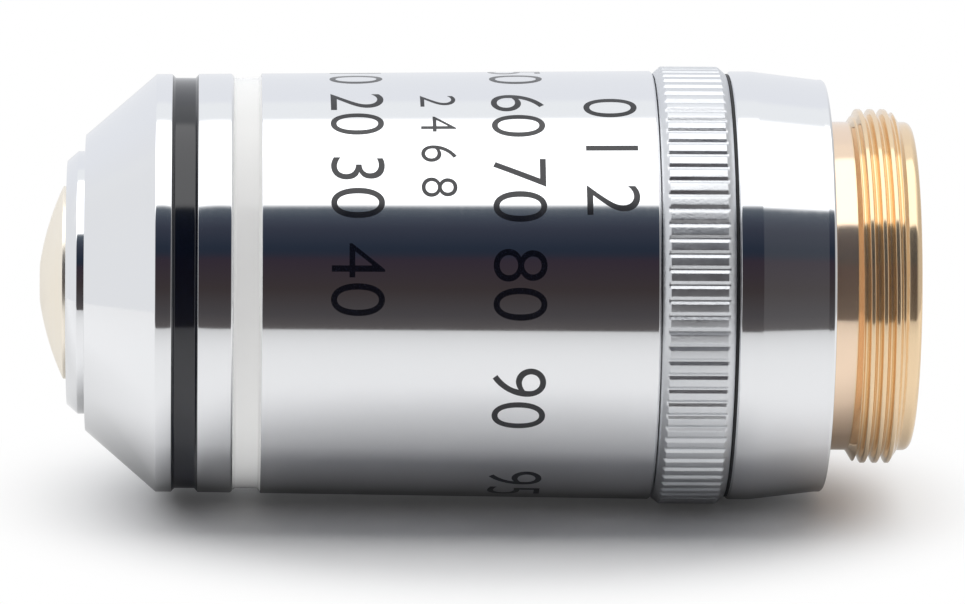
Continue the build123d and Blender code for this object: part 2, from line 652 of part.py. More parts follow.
def iris_leaf(index):
    """Curved leaf with a pivot pin towards the base and a drive pin towards the cam plate."""
    bottom = LEAF_Z + index * LEAF_PITCH + (LEAF_PITCH - LEAF_THICKNESS) / 2
    blade = SlotArc(CenterArc((0, 0), LEAF_INNER + LEAF_WIDTH / 2, 0, LEAF_SWEEP), LEAF_WIDTH)
    ear = SlotArc(CenterArc((0, 0), PIVOT_CIRCLE, 0, DRIVE_ANGLE), 2 * EAR_RADIUS)
    neck_width = PIVOT_CIRCLE - LEAF_INNER - LEAF_WIDTH / 2
    neck_middle = PIVOT_CIRCLE - neck_width / 2
    neck_arc = CenterArc((0, 0), neck_middle, DRIVE_ANGLE / 3, DRIVE_ANGLE / 3)
    neck = SlotArc(neck_arc, neck_width)
    leaf = extrude(Pos(0, 0, bottom) * (blade + ear + neck), LEAF_THICKNESS)
    pivot_top = WEB_Z - STOP_GAP
    pivot = extrude(
        Pos(PIVOT_CIRCLE, 0, bottom) * Circle(LEAF_PIN_RADIUS), pivot_top - bottom
    )
    foot = CAM_PLATE_Z + STOP_GAP
    drive_x, drive_y = polar(PIVOT_CIRCLE, DRIVE_ANGLE)
    drive = extrude(
        Pos(drive_x, drive_y, foot) * Circle(LEAF_PIN_RADIUS), bottom + LEAF_THICKNESS - foot
    )
    return Rot(0, 0, 360 * index / LEAF_COUNT) * (leaf + pivot + drive)


def build():
    """All the pieces by name."""
    pieces = {
        "thread_mount": thread_mount(),
        "rear_body": rear_body(),
        "collar_washer": collar_washer(),
        "iris_collar": iris_collar(),
        "drive_pin": drive_pin(),
        "barrel": barrel(),
        "white_band": enamel_band(WHITE_BAND_Z, WHITE_BAND_WIDTH),
        "black_band": enamel_band(BLACK_BAND_Z, BLACK_BAND_WIDTH),
        "nose_cone": nose_cone(),
        "stop_ring": stop_ring(),
        "guide_pin": guide_pin(),
        "lens_tube": lens_tube(),
        "nose_spring": nose_spring(),
        "nose_cap": nose_cap(),
        "front_cell": front_cell(),
        "front_lens": front_lens(),
        "iris_base": iris_base(),
        "iris_keeper": iris_keeper(),
        "iris_cam_ring": iris_cam_ring(),
        "stack_spacer": ring(CELL_RADIUS - SPACER_WALL, CELL_RADIUS, SPACER_Z, TRIPLET_CELL_Z),
        "stack_retainer": ring(CELL_RADIUS - RETAINER_WIDTH, CELL_RADIUS, RETAINER_Z, RETAINER_TOP),
    }
    for index in range(LEAF_COUNT):
        pieces[f"iris_leaf_{index + 1}"] = iris_leaf(index)
    groups = (
        ("rear_cell", STACK_Z, REAR_CELL_LENGTH, REAR_LENS_RADIUS, SEAT_THICKNESS,
         (-REAR_HOLLOW_CURVE, REAR_CEMENT_CURVE, -REAR_FRONT_CURVE),
         {"rear_flint": REAR_FLINT_THICKNESS, "rear_crown": REAR_CROWN_THICKNESS}),
        ("triplet_cell", TRIPLET_CELL_Z, TRIPLET_CELL_LENGTH, TRIPLET_LENS_RADIUS, SEAT_THICKNESS,
         (TRIPLET_OUTER_CURVE, -TRIPLET_CEMENT_CURVE, TRIPLET_CEMENT_CURVE, -TRIPLET_OUTER_CURVE),
         {"triplet_rear_crown": TRIPLET_CROWN_THICKNESS, "triplet_flint": TRIPLET_FLINT_THICKNESS,
          "triplet_front_crown": TRIPLET_CROWN_THICKNESS}),
        ("doublet_cell", DOUBLET_CELL_Z, DOUBLET_CELL_LENGTH, DOUBLET_LENS_RADIUS, SEAT_THICKNESS,
         (DOUBLET_REAR_CURVE, DOUBLET_CEMENT_CURVE, -DOUBLET_FRONT_CURVE),
         {"doublet_flint": DOUBLET_FLINT_THICKNESS, "doublet_crown": DOUBLET_CROWN_THICKNESS}),
        ("meniscus_cell", MENISCUS_CELL_Z, MENISCUS_CELL_LENGTH, MENISCUS_LENS_RADIUS,
         MENISCUS_SEAT_THICKNESS, (MENISCUS_REAR_CURVE, MENISCUS_FRONT_CURVE),
         {"meniscus_lens": MENISCUS_THICKNESS}),
    )
    for cell, bottom, length, radius, seat, curves, elements in groups:
        pieces[cell] = lens_cell(bottom, length, radius, seat)
        lenses = cemented(bottom + seat, radius, curves, elements.values())
        pieces.update(zip(elements, lenses))
    return pieces


os.makedirs("parts", exist_ok=True)
for node, shape in build().items():
    export_step(shape, f"parts/{node}.step")
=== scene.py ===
import json
from math import atan, atan2, cos, hypot, pi, radians, sin, sqrt, tau

import bpy
from bpy.props import FloatProperty, FloatVectorProperty, IntProperty, PointerProperty
from mathutils import Matrix, Vector


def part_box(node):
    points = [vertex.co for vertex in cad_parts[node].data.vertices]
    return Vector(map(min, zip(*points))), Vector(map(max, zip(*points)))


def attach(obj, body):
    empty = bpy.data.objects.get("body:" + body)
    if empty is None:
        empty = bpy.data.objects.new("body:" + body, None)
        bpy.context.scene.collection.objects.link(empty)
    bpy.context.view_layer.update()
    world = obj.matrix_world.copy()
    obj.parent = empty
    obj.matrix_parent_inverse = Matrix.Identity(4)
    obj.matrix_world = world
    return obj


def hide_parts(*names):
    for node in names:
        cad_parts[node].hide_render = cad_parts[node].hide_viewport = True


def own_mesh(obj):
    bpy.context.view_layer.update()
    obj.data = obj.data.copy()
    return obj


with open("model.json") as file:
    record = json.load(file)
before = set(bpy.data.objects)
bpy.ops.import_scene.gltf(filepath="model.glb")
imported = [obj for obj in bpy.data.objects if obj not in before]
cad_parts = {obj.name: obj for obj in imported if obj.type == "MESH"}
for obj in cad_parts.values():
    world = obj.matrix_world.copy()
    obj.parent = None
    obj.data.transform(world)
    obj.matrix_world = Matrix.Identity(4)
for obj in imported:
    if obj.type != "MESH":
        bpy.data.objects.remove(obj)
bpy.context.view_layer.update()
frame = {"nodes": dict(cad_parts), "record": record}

bl_info = {
    "name": "Microscope objective",
    "version": (1, 0, 0),
    "blender": (4, 5, 0),
    "location": "View3D > Sidebar > Objective",
    "description": "Dresses an oil-immersion objective with an iris collar and a sprung nose",
    "category": "Object",
}

MM = 0.001


def low(node):
    """Lowest height of a node."""
    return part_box(node)[0].z


def high(node):
    """Highest height of a node."""
    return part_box(node)[1].z


def reach(node):
    """Outer radius of a node that is round about the axis."""
    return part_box(node)[1].x


# Radii and heights of the outer pieces, in metres, as the frame has them
BODY_RADIUS = reach("barrel")
NOSE_RADIUS = reach("nose_cone")
COLLAR_RADIUS = reach("iris_collar")
ENAMEL_RADIUS = reach("white_band")
WASHER_RADIUS = reach("collar_washer")
CAP_RADIUS = reach("nose_cap")
CELL_RIM_RADIUS = reach("front_cell")
MOUNT_FLANGE_RADIUS = reach("thread_mount")
STACK_RADIUS = reach("rear_cell")
BODY_TUBE_RADIUS = -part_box("guide_pin")[0].y
SHOULDER_Z = low("rear_body")
BODY_TUBE_TOP = high("rear_body")
SPIGOT_TOP = high("thread_mount")
WASHER_Z = low("collar_washer")
COLLAR_Z = low("iris_collar")
COLLAR_TOP = high("iris_collar")
BARREL_Z = low("barrel")
BARREL_TOP = high("barrel")
CONE_FOOT_Z = low("nose_cone")
CONE_TOP = high("nose_cone")
CAP_FOOT_Z = low("nose_cap")
CAP_TOP = high("nose_cap")
CELL_FOOT_Z = low("front_cell")
TIP_Z = high("front_cell")
DRIVE_Z = (low("drive_pin") + high("drive_pin")) / 2
DRIVE_PIN_RADIUS = (high("drive_pin") - low("drive_pin")) / 2
DRIVE_PIN_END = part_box("drive_pin")[1].y
GUIDE_Z = (low("guide_pin") + high("guide_pin")) / 2
GUIDE_PIN_RADIUS = (high("guide_pin") - low("guide_pin")) / 2

# Steps, fits and chamfers that the boxes don't give
FIT = 0.02 * MM
RUNNING = 0.05 * MM
EDGE_BREAK = 0.12 * MM
PILOT_LENGTH = 0.75 * MM
THREAD_LENGTH = 2.85 * MM
THREAD_RELIEF = 0.735 * MM
MOUNT_FLANGE_STEP = 0.115 * MM
MOUNT_FLANGE_SINK = 0.05 * MM
MOUNT_FLANGE_THICKNESS = 0.4 * MM
PILOT_ROUNDING = 0.4 * MM
NECK_WALL = 1.2 * MM
SPIGOT_STEP = 0.2 * MM
SHOULDER_LAND = 0.43 * MM
TAPER_LENGTH = 3.74 * MM
TAPER_DROP = 0.45 * MM
LEDGE_RISE = 6.3 * MM
LEDGE_THICKNESS = 1.5 * MM
LENS_TUBE_STEP = 0.1 * MM
REAR_BORE_CLEARANCE = 1.2 * MM
COLLAR_CHAMFER_WIDTH = 0.45 * MM
COLLAR_CHAMFER_DEPTH = 0.4 * MM
ENAMEL_THICKNESS = 0.12 * MM
ENAMEL_FILLET = 0.16 * MM
ENAMEL_MARGIN = 0.03 * MM
NOSE_LAND = 0.91 * MM
NOSE_CLEARANCE = 0.1 * MM
NOSE_LIP_WIDTH = 0.83 * MM
NOSE_LIP_THICKNESS = 0.8 * MM
CAP_CHAMFER_LENGTH = 0.63 * MM
CAP_CHAMFER_DEPTH = 0.55 * MM
CAP_SPIGOT_LENGTH = 1.5 * MM
CAP_SPIGOT_WALL = 1.66 * MM
CELL_RIM_HEIGHT = 0.22 * MM
CELL_TIP_RADIUS = 1.1 * MM
CELL_DOME_BULGE = 0.17 * MM
BALL_RADIUS = 1.45 * MM
BALL_FLAT_RADIUS = 1.0 * MM
LIGHT_CONE_RADIUS = 3.6 * MM
DRIVE_SWING = radians(50.0)

# Fineness and shading of the meshes
EDGE_STEPS = 3
ROUND_STEPS = 24
PIN_SIDES = 48
LARGE_FACE_WEIGHT = 100

# Radii and heights that follow from these
THREAD_END = PILOT_LENGTH + THREAD_LENGTH
MOUNT_SEAT_Z = SHOULDER_Z + MOUNT_FLANGE_SINK + MOUNT_FLANGE_THICKNESS
LEDGE_Z = DRIVE_Z + LEDGE_RISE
THREAD_RADIUS = MOUNT_FLANGE_RADIUS - MOUNT_FLANGE_STEP
NECK_RADIUS = THREAD_RADIUS - THREAD_RELIEF
LENS_TUBE_RADIUS = CAP_RADIUS - LENS_TUBE_STEP
FRONT_BORE = reach("stop_ring") + FIT
STEM_HOLE = STACK_RADIUS - CAP_SPIGOT_WALL


def linear(code):
    """Linear colour from an sRGB hex value."""
    shares = [int(code[i:i + 2], 16) / 255 for i in (0, 2, 4)]
    return [s / 12.92 if s <= 0.04045 else ((s + 0.055) / 1.055) ** 2.4 for s in shares]


class ObjectiveSizes(bpy.types.PropertyGroup):
    """Sizes of the dressed pieces that a maker would change."""

    segments: IntProperty(
        name="Segments", description="Sides of each turned piece", default=288, min=64
    )
    edge: FloatProperty(
        name="Edge", description="Width of the broken edges", default=0.04 * MM, unit="LENGTH"
    )
    knurl_count: IntProperty(
        name="Knurl grooves", description="Grooves round the collar", default=90, min=12
    )
    knurl_depth: FloatProperty(
        name="Knurl depth", description="Depth of a collar groove", default=0.11 * MM,
        unit="LENGTH",
    )
    knurl_width: FloatProperty(
        name="Knurl width", description="Mouth of a collar groove", default=0.44 * MM,
        unit="LENGTH",
    )
    knurl_floor: FloatProperty(
        name="Knurl floor", description="Flat floor of a collar groove", default=0.09 * MM,
        unit="LENGTH",
    )
    thread_pitch: FloatProperty(
        name="Thread pitch", description="36 turns to the inch", default=25.4 * MM / 36,
        unit="LENGTH",
    )
    thread_depth: FloatProperty(
        name="Thread depth", description="Crest to root", default=0.42 * MM, unit="LENGTH"
    )
    number_height: FloatProperty(
        name="Number height", description="Height of the large figures", default=3.0 * MM,
        unit="LENGTH",
    )
    small_number_height: FloatProperty(
        name="Small number height", description="Height of the small figures", default=2.0 * MM,
        unit="LENGTH",
    )
    number_rise: FloatProperty(
        name="Number rise", description="Paint above the barrel", default=0.004 * MM,
        unit="LENGTH",
    )
    number_sink: FloatProperty(
        name="Number sink", description="Paint below the barrel's face", default=0.02 * MM,
        unit="LENGTH",
    )


def colour(name, description, code):
    """Colour property from an sRGB hex value."""
    return FloatVectorProperty(
        name=name, description=description, subtype="COLOR", size=3, min=0, max=1,
        default=linear(code),
    )


class ObjectiveColours(bpy.types.PropertyGroup):
    """Colours of the finishes."""

    chrome: colour("Chrome", "Bright chrome plate", "EDEEF0")
    knurl: colour("Knurled chrome", "Satin chrome on the collar", "DADCDF")
    brass: colour("Brass", "Lacquered brass of the mount", "FAE0C6")
    bare_brass: colour("Bare brass", "Brass of the thread, cut after lacquering", "F4D8B2")
    gilt: colour("Gilt", "Gilded front cell", "FDF5E6")
    white: colour("White enamel", "White band", "FAFAF8")
    black: colour("Black enamel", "Black band", "080C18")
    fibre: colour("Fibre", "Friction washer", "0C0E12")
    paint: colour("Engraving paint", "Figures on the barrel", "0A0C16")
    glass: colour("Glass", "Lenses", "FFFFFF")
    blackened: colour("Blackened brass", "Inner metalwork", "131416")
    blued: colour("Blued steel", "Iris leaves", "23252F")
    spring: colour("Spring steel", "Nose spring", "8A8C90")
    floor: colour("Floor", "Pale floor and backdrop", "F6F6F6")


def node(tree, kind, sockets=None, **settings):
    """Add a node, set its options, then fill its sockets with values or links."""
    made = tree.nodes.new(kind)
    for key, value in settings.items():
        setattr(made, key, value)
    for key, value in (sockets or {}).items():
        if isinstance(value, bpy.types.NodeSocket):
            tree.links.new(value, made.inputs[key])
        else:
            made.inputs[key].default_value = value
    return made


def blank(name):
    """Empty material and its tree."""
    material = bpy.data.materials.new(name)
    material.use_nodes = True
    material.node_tree.nodes.clear()
    return material, material.node_tree


def opaque(shade):
    """Colour property as a socket value."""
    return (*shade, 1.0)


# A lathe leaves fine rings round the axis. They are drawn about 0.15 mm wide, coarser than real
# ones, so that they show: reflections get faint streaks along the circumference.
def turned_metal(
    name, shade, roughness, metallic=1.0, ring_width=0.15 * MM, ring_depth=0.00004 * MM,
    drawn_out=(0.01, 0.01, 1.0), foot_shade=None, foot_top=0.0,
):
    """Turned and finished metal, with another shade below a height where one is given."""
    material, tree = blank(name)
    coords = node(tree, "ShaderNodeTexCoord")
    along = node(
        tree, "ShaderNodeMapping", {"Vector": coords.outputs["Object"], "Scale": drawn_out}
    )
    rings = node(
        tree, "ShaderNodeTexNoise",
        {"Vector": along.outputs["Vector"], "Scale": 1 / ring_width, "Detail": 2.0},
    )
    wear = node(
        tree, "ShaderNodeTexNoise",
        {"Vector": coords.outputs["Object"], "Scale": 1 / (2.5 * MM), "Detail": 4.0},
    )
    haze = node(
        tree, "ShaderNodeMath",
        {0: rings.outputs["Fac"], 1: wear.outputs["Fac"]}, operation="MULTIPLY",
    )
    gloss = node(
        tree, "ShaderNodeMapRange",
        {"Value": haze.outputs["Value"], "From Min": 0.1, "From Max": 0.45,
         "To Min": roughness * 0.8, "To Max": roughness * 1.25},
    )
    relief = node(
        tree, "ShaderNodeBump",
        {"Strength": 1.0, "Distance": ring_depth, "Height": rings.outputs["Fac"]},
    )
    base = opaque(shade)
    if foot_shade:
        axes = node(tree, "ShaderNodeSeparateXYZ", {"Vector": coords.outputs["Object"]})
        above = node(
            tree, "ShaderNodeMapRange",
            {"Value": axes.outputs["Z"], "From Min": foot_top, "From Max": foot_top + EDGE_BREAK},
        )
        blend = node(
            tree, "ShaderNodeMix",
            {"Factor": above.outputs["Result"], "A": opaque(foot_shade), "B": base},
            data_type="RGBA",
        )
        base = blend.outputs["Result"]
    shader = node(
        tree, "ShaderNodeBsdfPrincipled",
        {"Base Color": base, "Metallic": metallic, "Roughness": gloss.outputs["Result"],
         "Normal": relief.outputs["Normal"]},
    )
    node(tree, "ShaderNodeOutputMaterial", {"Surface": shader.outputs["BSDF"]})
    return material


# Fired enamel and paint fill a groove with a glossy skin that is never quite level: a slow ripple
# about 1.5 mm long bends its highlights.
def enamel(name, shade, roughness=0.12, ior=1.5, ripple=1.5 * MM):
    """Glossy enamel or paint."""
    material, tree = blank(name)
    coords = node(tree, "ShaderNodeTexCoord")
    flow = node(
        tree, "ShaderNodeTexNoise",
        {"Vector": coords.outputs["Object"], "Scale": 1 / ripple, "Detail": 2.0},
    )
    relief = node(
        tree, "ShaderNodeBump",
        {"Strength": 0.15, "Distance": 0.02 * MM, "Height": flow.outputs["Fac"]},
    )
    gloss = node(
        tree, "ShaderNodeMapRange",
        {"Value": flow.outputs["Fac"], "From Min": 0.3, "From Max": 0.7,
         "To Min": roughness * 0.8, "To Max": roughness * 1.4},
    )
    shader = node(
        tree, "ShaderNodeBsdfPrincipled",
        {"Base Color": opaque(shade), "Roughness": gloss.outputs["Result"], "IOR": ior,
         "Normal": relief.outputs["Normal"]},
    )
    node(tree, "ShaderNodeOutputMaterial", {"Surface": shader.outputs["BSDF"]})
    return material


# Vulcanised fibre: dull black with a paper grain of about 0.1 mm.
def fibre(name, shade):
    """Friction washer stock."""
    material, tree = blank(name)
    coords = node(tree, "ShaderNodeTexCoord")
    grain = node(
        tree, "ShaderNodeTexNoise",
        {"Vector": coords.outputs["Object"], "Scale": 1 / (0.1 * MM), "Detail": 3.0},
    )
    relief = node(
        tree, "ShaderNodeBump",
        {"Strength": 0.4, "Distance": 0.01 * MM, "Height": grain.outputs["Fac"]},
    )
    shader = node(
        tree, "ShaderNodeBsdfPrincipled",
        {"Base Color": opaque(shade), "Roughness": 0.5, "Normal": relief.outputs["Normal"]},
    )
    node(tree, "ShaderNodeOutputMaterial", {"Surface": shader.outputs["BSDF"]})
    return material


# Crown glass with a thin coating: clear, sharp reflections, a trace of polish marks 0.4 mm apart.
def optical_glass(name, shade):
    """Polished lens."""
    material, tree = blank(name)
    coords = node(tree, "ShaderNodeTexCoord")
    polish = node(
        tree, "ShaderNodeTexNoise",
        {"Vector": coords.outputs["Object"], "Scale": 1 / (0.4 * MM), "Detail": 2.0},
    )
    gloss = node(
        tree, "ShaderNodeMapRange",
        {"Value": polish.outputs["Fac"], "To Min": 0.0, "To Max": 0.03},
    )
    shader = node(
        tree, "ShaderNodeBsdfPrincipled",
        {"Base Color": opaque(shade), "Roughness": gloss.outputs["Result"], "IOR": 1.52,
         "Transmission Weight": 1.0},
    )
    node(tree, "ShaderNodeOutputMaterial", {"Surface": shader.outputs["BSDF"]})
    return material


FINISHES = {
    "chrome_plate": lambda c: turned_metal("bright_chrome_on_turned_brass", c.chrome, 0.07),
    # the knurling wheel leaves a pressed grain of about 0.12 mm in place of rings
    "knurled_chrome": lambda c: turned_metal(
        "satin_chrome_on_knurled_brass", c.knurl, 0.36,
        ring_width=0.12 * MM, ring_depth=0.012 * MM, drawn_out=(1.0, 1.0, 1.0),
    ),
    # clear lacquer gone a little milky lifts the dark reflections
    "lacquered_brass": lambda c: turned_metal(
        "lacquered_turned_brass", c.brass, 0.1, metallic=0.88,
        foot_shade=c.bare_brass, foot_top=THREAD_END,
    ),
    "gilt_brass": lambda c: turned_metal("gilded_turned_brass", c.gilt, 0.35),
    "white_enamel": lambda c: enamel("white_enamel_in_groove", c.white),
    "black_enamel": lambda c: enamel("black_enamel_in_groove", c.black, roughness=0.08, ior=1.66),
    "engraving_paint": lambda c: enamel("engraving_paint", c.paint, roughness=0.14, ior=1.6),
    "black_fibre": lambda c: fibre("vulcanised_fibre", c.fibre),
    "lens_glass": lambda c: optical_glass("polished_optical_glass", c.glass),
    "blackened_brass": lambda c: turned_metal("blackened_turned_brass", c.blackened, 0.45),
    "blued_steel": lambda c: turned_metal("blued_rolled_steel", c.blued, 0.3),
    "spring_steel": lambda c: turned_metal("drawn_spring_steel", c.spring, 0.25),
}


def finish_of(context, kind):
    """Material of a finish, made the first time that it is asked for."""
    name = "finish_" + kind
    if name not in context.scene:
        context.scene[name] = FINISHES[kind](context.scene.objective_colours)
    return context.scene[name]


def clear_selection():
    """Leave nothing selected."""
    if bpy.context.object and bpy.context.object.mode != "OBJECT":
        bpy.ops.object.mode_set(mode="OBJECT")
    bpy.ops.object.select_all(action="DESELECT")


def face_outwards():
    """Turn every face of the piece in edit mode outwards, and leave edit mode."""
    bpy.ops.mesh.select_all(action="SELECT")
    bpy.ops.mesh.normals_make_consistent(inside=False)
    bpy.ops.object.mode_set(mode="OBJECT")


def turn(context, name, outline, filled=False, sides=None):
    """Turned piece: a circle drawn from corner to corner of (radius, height), then closed."""
    clear_selection()
    radius, height = outline[0]
    bpy.ops.mesh.primitive_circle_add(
        vertices=sides or context.scene.objective_sizes.segments, radius=radius,
        location=(0, 0, height),
    )
    piece = context.object
    piece.name = piece.data.name = name
    bpy.ops.object.transform_apply(location=True, rotation=True, scale=True)
    bpy.ops.object.mode_set(mode="EDIT")
    bpy.ops.mesh.select_all(action="SELECT")
    for (radius, height), (next_radius, next_height) in zip(outline, outline[1:]):
        bpy.ops.mesh.extrude_edges_move(
            TRANSFORM_OT_translate={"value": (0, 0, next_height - height)}
        )
        grow = next_radius / radius
        bpy.ops.transform.resize(value=(grow, grow, 1), center_override=(0, 0, next_height))
    bpy.ops.mesh.select_mode(type="EDGE")
    bpy.ops.mesh.select_all(action="DESELECT")
    bpy.ops.mesh.select_non_manifold(
        use_wire=False, use_multi_face=False, use_non_contiguous=False, use_verts=False
    )
    if filled:
        bpy.ops.mesh.edge_face_add()
    else:
        bpy.ops.mesh.bridge_edge_loops()
    bpy.ops.mesh.select_mode(type="VERT")
    face_outwards()
    return piece


def arc(start, middle, end, steps):
    """Points of the circle through three points of an outline."""
    (ax, ay), (bx, by), (cx, cy) = start, middle, end
    a, b, c = ax**2 + ay**2, bx**2 + by**2, cx**2 + cy**2
    twice = 2 * (ax * (by - cy) + bx * (cy - ay) + cx * (ay - by))
    x = (a * (by - cy) + b * (cy - ay) + c * (ay - by)) / twice
    y = (a * (cx - bx) + b * (ax - cx) + c * (bx - ax)) / twice
    first, last = atan2(ay - y, ax - x), atan2(cy - y, cx - x)
    radius = hypot(ax - x, ay - y)
    angles = [first + (last - first) * i / steps for i in range(steps + 1)]
    return [(x + radius * cos(angle), y + radius * sin(angle)) for angle in angles]


def make_active(piece):
    """Select one piece alone."""
    clear_selection()
    piece.select_set(True)
    bpy.context.view_layer.objects.active = piece


def cut(piece, cutter):
    """Take a cutter out of a piece."""
    make_active(piece)
    hole = piece.modifiers.new("Cut", "BOOLEAN")
    hole.operation = "DIFFERENCE"
    hole.solver = "EXACT"
    hole.object = cutter
    bpy.ops.object.modifier_apply(modifier=hole.name)
    bpy.data.objects.remove(cutter)


def break_edges(piece, width, sharper_than=radians(4)):
    """Bevel every edge that a lathe tool would leave sharp."""
    make_active(piece)
    bpy.ops.object.shade_smooth()
    bevel = piece.modifiers.new("Edge", "BEVEL")
    bevel.limit_method = "ANGLE"
    bevel.angle_limit = sharper_than
    bevel.width = width
    bevel.segments = EDGE_STEPS
    bpy.ops.object.modifier_apply(modifier=bevel.name)


def even_shading(piece):
    """Let the large faces set the shading, so that reflections stay straight."""
    make_active(piece)
    bpy.ops.object.shade_smooth()
    weigh = piece.modifiers.new("Even", "WEIGHTED_NORMAL")
    weigh.weight = LARGE_FACE_WEIGHT
    bpy.ops.object.modifier_apply(modifier=weigh.name)


def place(context, piece, body, kind, slot, *nodes):
    """Give a piece its finish and its body, and hide the nodes that it stands for."""
    piece.data.materials.clear()
    piece.data.materials.append(finish_of(context, kind))
    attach(piece, body)
    if nodes:
        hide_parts(*nodes)


def turned_piece(context, node_name, outline, body, kind, slot, filled=False):
    """Turned piece with broken edges that stands for one node."""
    piece = turn(context, node_name + "_turned", outline, filled)
    break_edges(piece, context.scene.objective_sizes.edge)
    even_shading(piece)
    place(context, piece, body, kind, slot, node_name)
    return piece


def radial_cutter(radius, inner, outer, height, bearing):
    """Round bar that points at the axis from a bearing."""
    clear_selection()
    middle = (inner + outer) / 2
    bpy.ops.mesh.primitive_cylinder_add(
        vertices=PIN_SIDES, radius=radius, depth=outer - inner,
        location=(middle * cos(bearing), middle * sin(bearing), height),
        rotation=(0, pi / 2, bearing),
    )
    bpy.ops.object.transform_apply(location=True, rotation=True, scale=True)
    return bpy.context.object


def sector_cutter(context, inner, outer, bottom, top, first, last):
    """Slot round the axis between two bearings."""
    cutter = turn(context, "slot", [(inner, bottom), (outer, bottom), (outer, top), (inner, top)])
    make_active(cutter)
    bpy.ops.object.mode_set(mode="EDIT")
    for bearing, side in ((first, -1), (last, 1)):
        bpy.ops.mesh.select_all(action="SELECT")
        bpy.ops.mesh.bisect(
            plane_co=(0, 0, 0), plane_no=(-side * sin(bearing), side * cos(bearing), 0),
            use_fill=True, clear_outer=True,
        )
    bpy.ops.object.mode_set(mode="OBJECT")
    return cutter


class OBJECTIVE_OT_mount(bpy.types.Operator):
    """Brass mount with its fine thread"""

    bl_idname = "objective.mount"
    bl_label = "Thread mount"

    # height of a groove's middle on the +X side, flat shares of crest and root, slope of the two
    # run-outs, rings of the mesh
    GROOVE_Z = 0.513 * MM
    CREST = 0.24
    ROOT = 0.06
    RUN_OUT = 1.6
    RINGS_PER_PITCH = 30

    def execute(self, context):
        sizes = context.scene.objective_sizes
        bore = NECK_RADIUS - NECK_WALL
        rings = round(THREAD_LENGTH / sizes.thread_pitch * self.RINGS_PER_PITCH)
        crest = [
            (THREAD_RADIUS, PILOT_LENGTH + THREAD_LENGTH * i / rings) for i in range(rings + 1)
        ]
        inset = PILOT_ROUNDING * (1 - sqrt(0.5))
        piece = turn(context, "thread_mount_turned", [
            (bore, 0),
            *arc(
                (NECK_RADIUS - PILOT_ROUNDING, 0), (NECK_RADIUS - inset, inset),
                (NECK_RADIUS, PILOT_ROUNDING), ROUND_STEPS,
            ),
            (NECK_RADIUS, PILOT_LENGTH),
            *crest,
            (NECK_RADIUS, THREAD_END),
            (NECK_RADIUS, SHOULDER_Z + MOUNT_FLANGE_SINK),
            (MOUNT_FLANGE_RADIUS, SHOULDER_Z + MOUNT_FLANGE_SINK),
            (MOUNT_FLANGE_RADIUS, MOUNT_SEAT_Z),
            (NECK_RADIUS + SPIGOT_STEP, MOUNT_SEAT_Z),
            (NECK_RADIUS + SPIGOT_STEP, SPIGOT_TOP),
            (bore, SPIGOT_TOP),
        ])
        break_edges(piece, sizes.edge)
        for vertex in piece.data.vertices:
            radius = hypot(vertex.co.x, vertex.co.y)
            if PILOT_LENGTH < vertex.co.z < THREAD_END and radius > NECK_RADIUS + FIT:
                bearing = atan2(vertex.co.y, vertex.co.x)
                turns = (vertex.co.z - self.GROOVE_Z) / sizes.thread_pitch - bearing / tau
                flank = abs(2 * (turns % 1.0) - 1)
                slope = (flank - self.CREST) / (1 - self.CREST - self.ROOT)
                slope = min(max(slope, 0), 1)
                root = slope**2 * (3 - 2 * slope) * sizes.thread_depth
                inside = min(vertex.co.z - PILOT_LENGTH, THREAD_END - vertex.co.z)
                run_out = NECK_RADIUS + inside * self.RUN_OUT + FIT
                cut_radius = min(THREAD_RADIUS - root, run_out)
                vertex.co.x *= cut_radius / radius
                vertex.co.y *= cut_radius / radius
        even_shading(piece)
        place(context, piece, "body", "lacquered_brass", "gilt_brass", "thread_mount")
        return {"FINISHED"}


class OBJECTIVE_OT_rear_body(bpy.types.Operator):
    """Chromed rear body with the tube that the barrel and the collar sit on"""

    bl_idname = "objective.rear_body"
    bl_label = "Rear body"

    def execute(self, context):
        recess = MOUNT_FLANGE_RADIUS + RUNNING
        socket = NECK_RADIUS + SPIGOT_STEP + FIT
        shoulder = BODY_RADIUS - TAPER_DROP
        ledge_hole = LENS_TUBE_RADIUS + RUNNING
        rear_bore = LENS_TUBE_RADIUS + REAR_BORE_CLEARANCE
        piece = turn(context, "rear_body_turned", [
            (recess, SHOULDER_Z),
            (shoulder - EDGE_BREAK, SHOULDER_Z),
            (shoulder, SHOULDER_Z + EDGE_BREAK),
            (shoulder, SHOULDER_Z + SHOULDER_LAND),
            (BODY_RADIUS, SHOULDER_Z + SHOULDER_LAND + TAPER_LENGTH),
            (BODY_RADIUS, WASHER_Z - EDGE_BREAK),
            (BODY_RADIUS - EDGE_BREAK, WASHER_Z),
            (BODY_TUBE_RADIUS, WASHER_Z),
            (BODY_TUBE_RADIUS, BODY_TUBE_TOP),
            (FRONT_BORE, BODY_TUBE_TOP),
            (FRONT_BORE, LEDGE_Z + LEDGE_THICKNESS),
            (ledge_hole, LEDGE_Z + LEDGE_THICKNESS),
            (ledge_hole, LEDGE_Z),
            (rear_bore, LEDGE_Z),
            (rear_bore, SPIGOT_TOP),
            (socket, SPIGOT_TOP),
            (socket, MOUNT_SEAT_Z),
            (recess, MOUNT_SEAT_Z),
        ])
        break_edges(piece, context.scene.objective_sizes.edge)
        half = DRIVE_PIN_RADIUS + RUNNING
        spare = half / rear_bore
        cut(piece, sector_cutter(
            context, rear_bore - EDGE_BREAK, BODY_TUBE_RADIUS + EDGE_BREAK, DRIVE_Z - half,
            DRIVE_Z + half, pi / 2 - spare, pi / 2 + DRIVE_SWING + spare,
        ))
        cut(piece, radial_cutter(
            GUIDE_PIN_RADIUS + FIT, ledge_hole - FIT, BODY_TUBE_RADIUS + FIT, GUIDE_Z, -pi / 2
        ))
        even_shading(piece)
        place(context, piece, "body", "chrome_plate", "chrome_plate", "rear_body")
        return {"FINISHED"}


